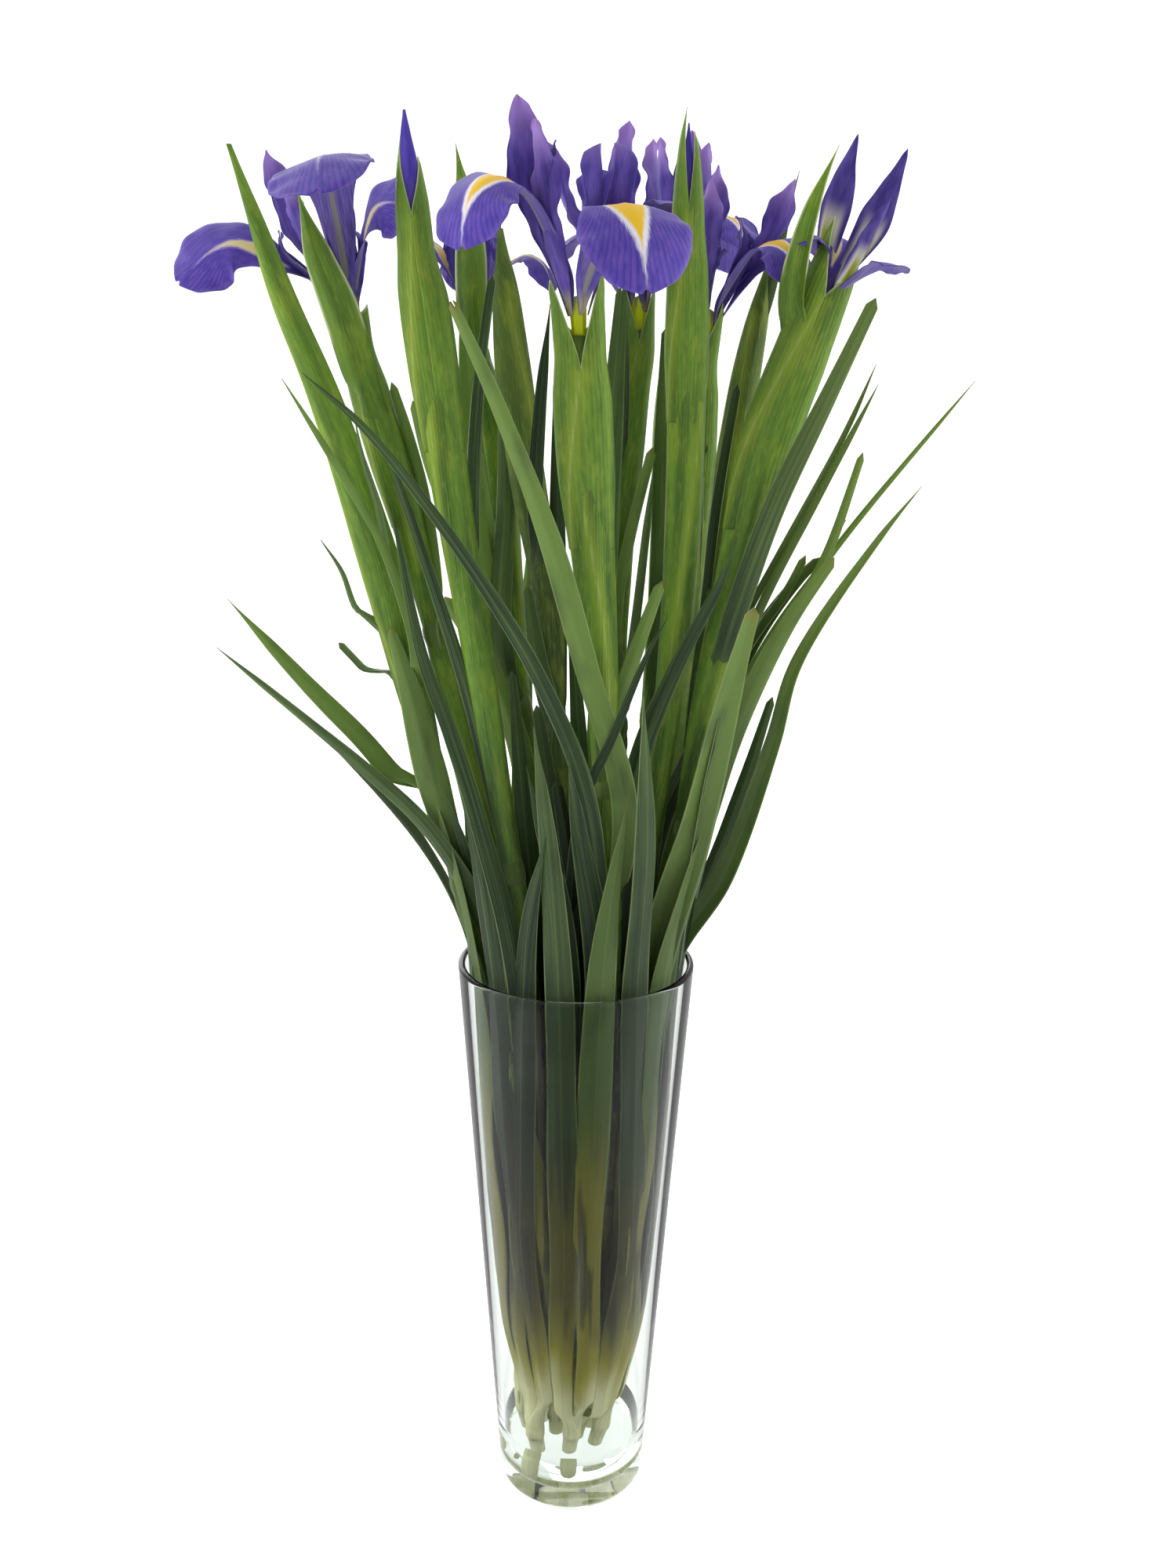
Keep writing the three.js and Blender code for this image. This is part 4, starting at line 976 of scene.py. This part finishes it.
def tube_material():
    """Flower tube: waxy yellow-green, violet where it meets the petals."""
    material, add = new_material("iris_tube")
    size, _, _ = uv_parts(add, "Size")
    _, round_it, up = uv_parts(add, "Share")
    # Violet runs down in a point below each of the six petals.
    points = add("Math", (add("Math", (round_it, 6 * math.tau), TIMES),), {"operation": "COSINE"})
    reach = add("Math", (points, 0.2, up), {"operation": "MULTIPLY_ADD"})
    colour = painted(
        add,
        "#bfca10",
        ("#e0e530", (stretched_noise(add, size, 14, 1), 0.35, 0.65, 1)),
        ("#4a3478", (reach, 0.62, 0.92, 1)),
    )
    thin_surface(add, colour, (1, "#e6ee30"), 0.5, 0.4)
    return material


def plain_material(name, inputs):
    """One even finish."""
    material, add = new_material(name)
    add("OutputMaterial", {"Surface": add("BsdfPrincipled", inputs)})
    return material


def haze_material():
    """Dried haze: a thin grey film left inside the glass, in runs from the rim down."""
    material, add = new_material("dried_haze")
    size, _, along = uv_parts(add, "Size")
    runs = stretched_noise(add, size, 1.1, 0.05, 4)
    clouds = stretched_noise(add, size, 0.25, 0.16)
    # The film is thickest from 130 to 280 mm up, and 10 mm is one unit here.
    thickest = (along, 8, 15, 1), (along, 29.4, 26, 1, 0.35)
    film = within(add, (runs, 0.5, 0.74, 0.13), (clouds, 0.35, 0.7, 1, 0.2), *thickest)
    inputs = {"Base Color": "#e9ece6", "Roughness": 0.9, "Specular IOR Level": 0.1, "Alpha": film}
    add("OutputMaterial", {"Surface": add("BsdfPrincipled", inputs)})
    return material


def arc(centre, radius, start, end, steps):
    """Points on part of a circle, from one angle in degrees to another."""
    points = []
    for i in range(steps + 1):
        turn = math.radians(start + (end - start) * i / steps)
        points.append((centre[0] + radius * math.cos(turn), centre[1] + radius * math.sin(turn)))
    return points


def spun(profile, name, material, node, sides):
    """A closed solid turned round the vase's axis from points of radius and height."""
    shape = bmesh.new()
    verts = [shape.verts.new((radius * MM, 0, height * MM)) for radius, height in profile]
    edges = [shape.edges.new(pair) for pair in zip(verts, verts[1:])]
    bmesh.ops.spin(
        shape, geom=verts + edges, cent=(0, 0, 0), axis=(0, 0, 1), angle=math.tau, steps=sides, use_merge=True
    )
    bmesh.ops.remove_doubles(shape, verts=shape.verts, dist=SAME_POINT)
    bmesh.ops.recalc_face_normals(shape, faces=shape.faces)
    for face in shape.faces:
        face.smooth = True
    return piece(name, [(shape, 0)], [material], node)


def inner_radius(height):
    """The radius of the vase's inside at a height."""
    return FOOT_RADIUS + (RIM_RADIUS - FOOT_RADIUS) * height / VASE_HEIGHT - WALL


def make_vase():
    """The glass, and the film inside it."""
    heel = inner_radius(HEEL_RADIUS) + WALL - HEEL_RADIUS, HEEL_RADIUS
    bead = RIM_RADIUS - RIM_BEAD, VASE_HEIGHT - RIM_BEAD
    corner = inner_radius(FLOOR) - CORNER, FLOOR + CORNER
    profile = [(0, 0), *arc(heel, HEEL_RADIUS, -90, 0, 12), *arc(bead, RIM_BEAD, 0, 180, 14)]
    profile += [*arc(corner, CORNER, 0, -90, 8), (0, FLOOR)]
    # Blown glass: clear, smooth and faintly green. Its IOR is below the 1.5 of real glass, so that the white room's
    # reflection doesn't hide the leaves behind it.
    glass = {"Base Color": "#f8fcf9", "Roughness": 0.0, "IOR": 1.2, "Transmission Weight": 1.0}
    spun(profile, "vase_glass", plain_material("blown_glass", glass), "vase", 160)

    def place(u, v):
        turn = math.tau * u
        height = HAZE["from"] + (HAZE["to"] - HAZE["from"]) * v
        radius = inner_radius(height) - HAZE["gap"]
        return ring_point(turn, radius, radius, height), (u * 32, height * 0.1), (u, v)

    piece("haze_inside", [(shaped_grid(*GRIDS["haze"], place), 0)], [haze_material()], "vase")


def make_water():
    """The pool laps a little into the glass, so that no air shows between them, and climbs the wall at its edge."""
    corner = inner_radius(FLOOR) - CORNER, FLOOR + CORNER
    wall = inner_radius(WATER_LEVEL) + WATER_LAP
    profile = [(0, FLOOR - WATER_LAP), *arc(corner, CORNER + WATER_LAP, -90, 0, 8)]
    profile += [(wall, WATER_LEVEL + 1), (wall - 1.6, WATER_LEVEL + 0.2), (0, WATER_LEVEL)]
    # Tap water: clear, with the index of water.
    water = {"Base Color": "#fbfefd", "Roughness": 0.0, "IOR": 1.33, "Transmission Weight": 1.0}
    spun(profile, "water_pool", plain_material("clear_water", water), "water", 96)


def low_leaves(name):
    """Leaves that rise from low on a stem, bow out to the glass and lean over its rim."""
    entries = []
    for i, (turn, tip, *reach) in enumerate(LOW_LEAVES[name]):
        draw = random.Random(turn)
        drift = 0 if reach else draw.uniform(-LOW_LEAF["drift"], LOW_LEAF["drift"])
        outward = reach[0] if reach else LOW_LEAF["rim"] + (tip - VASE_HEIGHT) * draw.uniform(*LOW_LEAF["lean"])
        inside = LOW_LEAF["inside"][0][0]
        bow = LOW_LEAF["bow_far" if reach else "bow"]
        path = [(outward, tip, 1), (inside + (outward - inside) * bow, (tip + VASE_HEIGHT) / 2, 0.4)]
        route = []
        for radius, height, aside in path + LOW_LEAF["inside"]:
            angle = math.radians(turn + drift * aside)
            route.append(ring_point(angle, radius, radius, height))
        # The blade's broad side faces the glass.
        facing = (turn + 90) % 180 - 90
        facing = facing - 90 if facing > 0 else facing + 90
        widths = [width * draw.uniform(*LOW_LEAF["vary"]) for width in LOW_LEAF["widths"]]
        entries.append(leaf(LOW_LEAF["joins"] + LOW_LEAF["step"] * i, -facing, widths, route))
    return entries


def seat_of(name):
    """Where a flower or bud sits: just above its stem's end."""
    return Vector(STEMS[name]["route"][-1]) + Vector((0, 0, GAP))


def make_stems():
    """The stalks, their leaves and the spathes."""
    live = leaf_material("iris_leaf", "#1d362a", "#7a9848", "#9ab43c")
    # The two closed stems get darker copies of the leaf and stalk materials: painted shade.
    dull = leaf_material("iris_leaf_shaded", "#192e1e", "#48642e", "#7f9834")
    green = sheath_material("iris_sheath", "#31561a", "#76a02e")
    olive = sheath_material("iris_sheath_closed", "#243a1c", "#536a2e")
    for number, (name, stem) in enumerate(STEMS.items()):
        node = "stem_" + name
        line = Line(stem["route"])
        closed = name.startswith("closed")
        stalk = stem_shape(stem, line, number)
        piece("stalk_" + name, [(stalk, 0)], [olive if closed else green], node)
        valves, blades = [], []
        # A spathe that is all wrap takes the draws of its two valves.
        all_wrap = name in SPATHES and all(entry["fold"] != VALVE_FOLD for entry in stem["leaves"])
        seeds = number * SEEDS["stem"] + (2 if all_wrap else 0)
        for i, entry in enumerate(stem["leaves"]):
            chosen = valves if entry["fold"] == VALVE_FOLD else blades
            chosen.append((leaf_shape(entry, stem, line, seeds + i), 0))
        for i, entry in enumerate(low_leaves(name) + BACK_LEAVES.get(name, [])):
            blades.append((leaf_shape(entry, stem, line, SEEDS["low_leaves"] + number * SEEDS["stem"] + i), 0))
        piece("leaves_" + name, blades, [dull if closed else live], node, LEAF_THICKNESS)
        if valves:
            piece("sheath_tips_" + name, valves, [green], node, LEAF_THICKNESS)
        if name in SPATHES:
            seat = seat_of(name)
            lean = {**FLOWERS, **BUDS}[name]["lean"]
            wrap = wrap_shape(seat, SPATHES[name], leaning(seat, lean), stem, line)
            piece("spathe_" + name, [(wrap, 0)], [green], node, LEAF_THICKNESS)


def make_flowers():
    """The open flowers and the two buds' furled petals."""
    underside = underside_material()
    fall_face = fall_material()
    upright = [
        violet_material("iris_standard_petal", "#46328f", "#6f57b2", "#38267c", "#8a6fd6", "#b795d6"),
        violet_material("iris_style_arm", "#3f3090", "#6350ac", "#2f2178", "#7b66cc", "#b795d6"),
        violet_material("iris_half_open_petal", "#43348f", "#6350a4", "#30246f"),
    ]
    pale_tube = tube_material()
    for number, (name, form) in enumerate(FLOWERS.items()):
        seat = seat_of(name)
        matrix = leaning(seat, form["lean"])
        tone = form.get("yellow", 1.0)
        standard_kind, material_number = (HALF_OPEN, 2) if name == "opening" else (STANDARD, 0)
        arms = form.get("arms", 1)
        seeds = number * SEEDS["flower"]
        falls, petals = [], []
        for i, fall in enumerate(form["falls"]):
            falls.append((petal_shape(FALL, fall, matrix, seeds + i, tone), 0))
            if arms:
                crest = [fall[0], fall[1], fall[2] * arms]
                petals.append((petal_shape(STYLE_ARM, crest, matrix, seeds + SEEDS["arms"] + i, tone), 1))
        for i, standard in enumerate(form["standards"]):
            shape = petal_shape(standard_kind, standard, matrix, seeds + SEEDS["standards"] + i, tone)
            petals.append((shape, material_number))
        node = "flower_" + name
        thing = piece("falls_" + name, falls, [underside, fall_face], node, PETAL_THICKNESS)
        thing.modifiers["Thickness"].material_offset = 1
        piece("petals_" + name, petals, upright, node, PETAL_THICKNESS)
        piece("tube_" + name, [(tube_shape(seat, matrix), 0)], [pale_tube], node)
    furled = violet_material("iris_furled_petals", "#4234a0", "#5f4cb4", "#2c207a", "#7b66cc", "#6a55b8")
    for name, form in BUDS.items():
        seat = seat_of(name)
        shape = bud_shape(seat, form, leaning(seat, form["lean"]))
        piece("furled_" + name, [(shape, 0)], [furled], "petals_" + name)


def make_table():
    """A pale table top, lit from below too, as a light table is, so it has nearly no shadow."""
    shape = bmesh.new()
    bmesh.ops.create_grid(shape, x_segments=1, y_segments=1, size=TABLE["half"])
    bmesh.ops.translate(shape, vec=(0, 0, -TABLE["gap"] * MM), verts=shape.verts)
    mesh = bpy.data.meshes.new("table_top")
    shape.to_mesh(mesh)
    shape.free()
    table = bpy.data.objects.new("table_top", mesh)
    bpy.context.collection.objects.link(table)
    # Glass that leans outwards would mirror the white table all over its front and hide what stands inside.
    table.visible_glossy = False
    table.visible_transmission = False
    paint = {"Base Color": "#f6f6f5", "Roughness": 0.7, "Specular IOR Level": 0.2}
    glow = {"Emission Color": "#ffffff", "Emission Strength": 0.55}
    mesh.materials.append(plain_material("lit_white_table", {**paint, **glow}))


def make_light():
    """A white tent that is brightest behind the flowers, with soft lights behind, at both sides and in front."""
    scene = bpy.context.scene
    # Light crosses the thick glass many times before it leaves it.
    scene.cycles.max_bounces = 32
    scene.cycles.glossy_bounces = 24
    scene.cycles.transmission_bounces = 32
    scene.view_settings.view_transform = "Standard"
    scene.world = bpy.data.worlds.new("white_tent")
    scene.world.use_nodes = True
    scene.world.node_tree.nodes.clear()
    add = partial(add_node, scene.world.node_tree)
    _, towards_back, towards_top = add("SeparateXYZ", (add("TexCoord", output="Generated"),)).node.outputs
    seen = add("LightPath").node.outputs
    lit = within(add, (towards_back, -0.6, 0.3, 1.35, 0.36))
    low_mirrored = within(add, (towards_back, -0.92, -0.55, 1.1, 0.1))
    high_mirrored = within(add, (towards_top, -0.05, 0.25, 0.9))
    mirrored = add("Math", (low_mirrored, high_mirrored), LARGER)
    light = add("Mix", {"Factor": seen["Is Glossy Ray"], "A": lit, "B": mirrored})
    # The camera sees even white.
    strength = add("Math", (light, add("Math", (seen["Is Camera Ray"], 1.05), TIMES)), LARGER)
    add("OutputWorld", {"Surface": add("Background", {"Color": "#ffffff", "Strength": strength})})
    for name, spot, target_height, width, power in LIGHTS:
        lamp = bpy.data.lights.new(name, "AREA")
        lamp.size = width
        lamp.energy = power
        thing = bpy.data.objects.new(name, lamp)
        thing.location = spot
        thing.rotation_euler = (Vector((0, 0, target_height)) - Vector(spot)).to_track_quat("-Z", "Y").to_euler()
        bpy.context.collection.objects.link(thing)
        thing.visible_glossy = name == "window_behind"


def make_camera():
    """In front, at the height of the sheaths, looking down with a slight roll."""
    camera_data = bpy.data.cameras.new("camera")
    camera_data.sensor_width = CAMERA["sensor"]
    camera_data.lens = CAMERA["lens"]
    camera = bpy.data.objects.new("camera", camera_data)
    pitch = Matrix.Rotation(math.radians(90 - CAMERA["down"]), 4, "X")
    roll = Matrix.Rotation(math.radians(CAMERA["roll"]), 4, "Z")
    camera.matrix_world = Matrix.Translation(CAMERA["place"]) @ pitch @ roll
    bpy.context.collection.objects.link(camera)
    bpy.context.scene.camera = camera


make_camera()
make_vase()
make_water()
make_stems()
make_flowers()
make_table()
make_light()

bpy.context.view_layer.update()
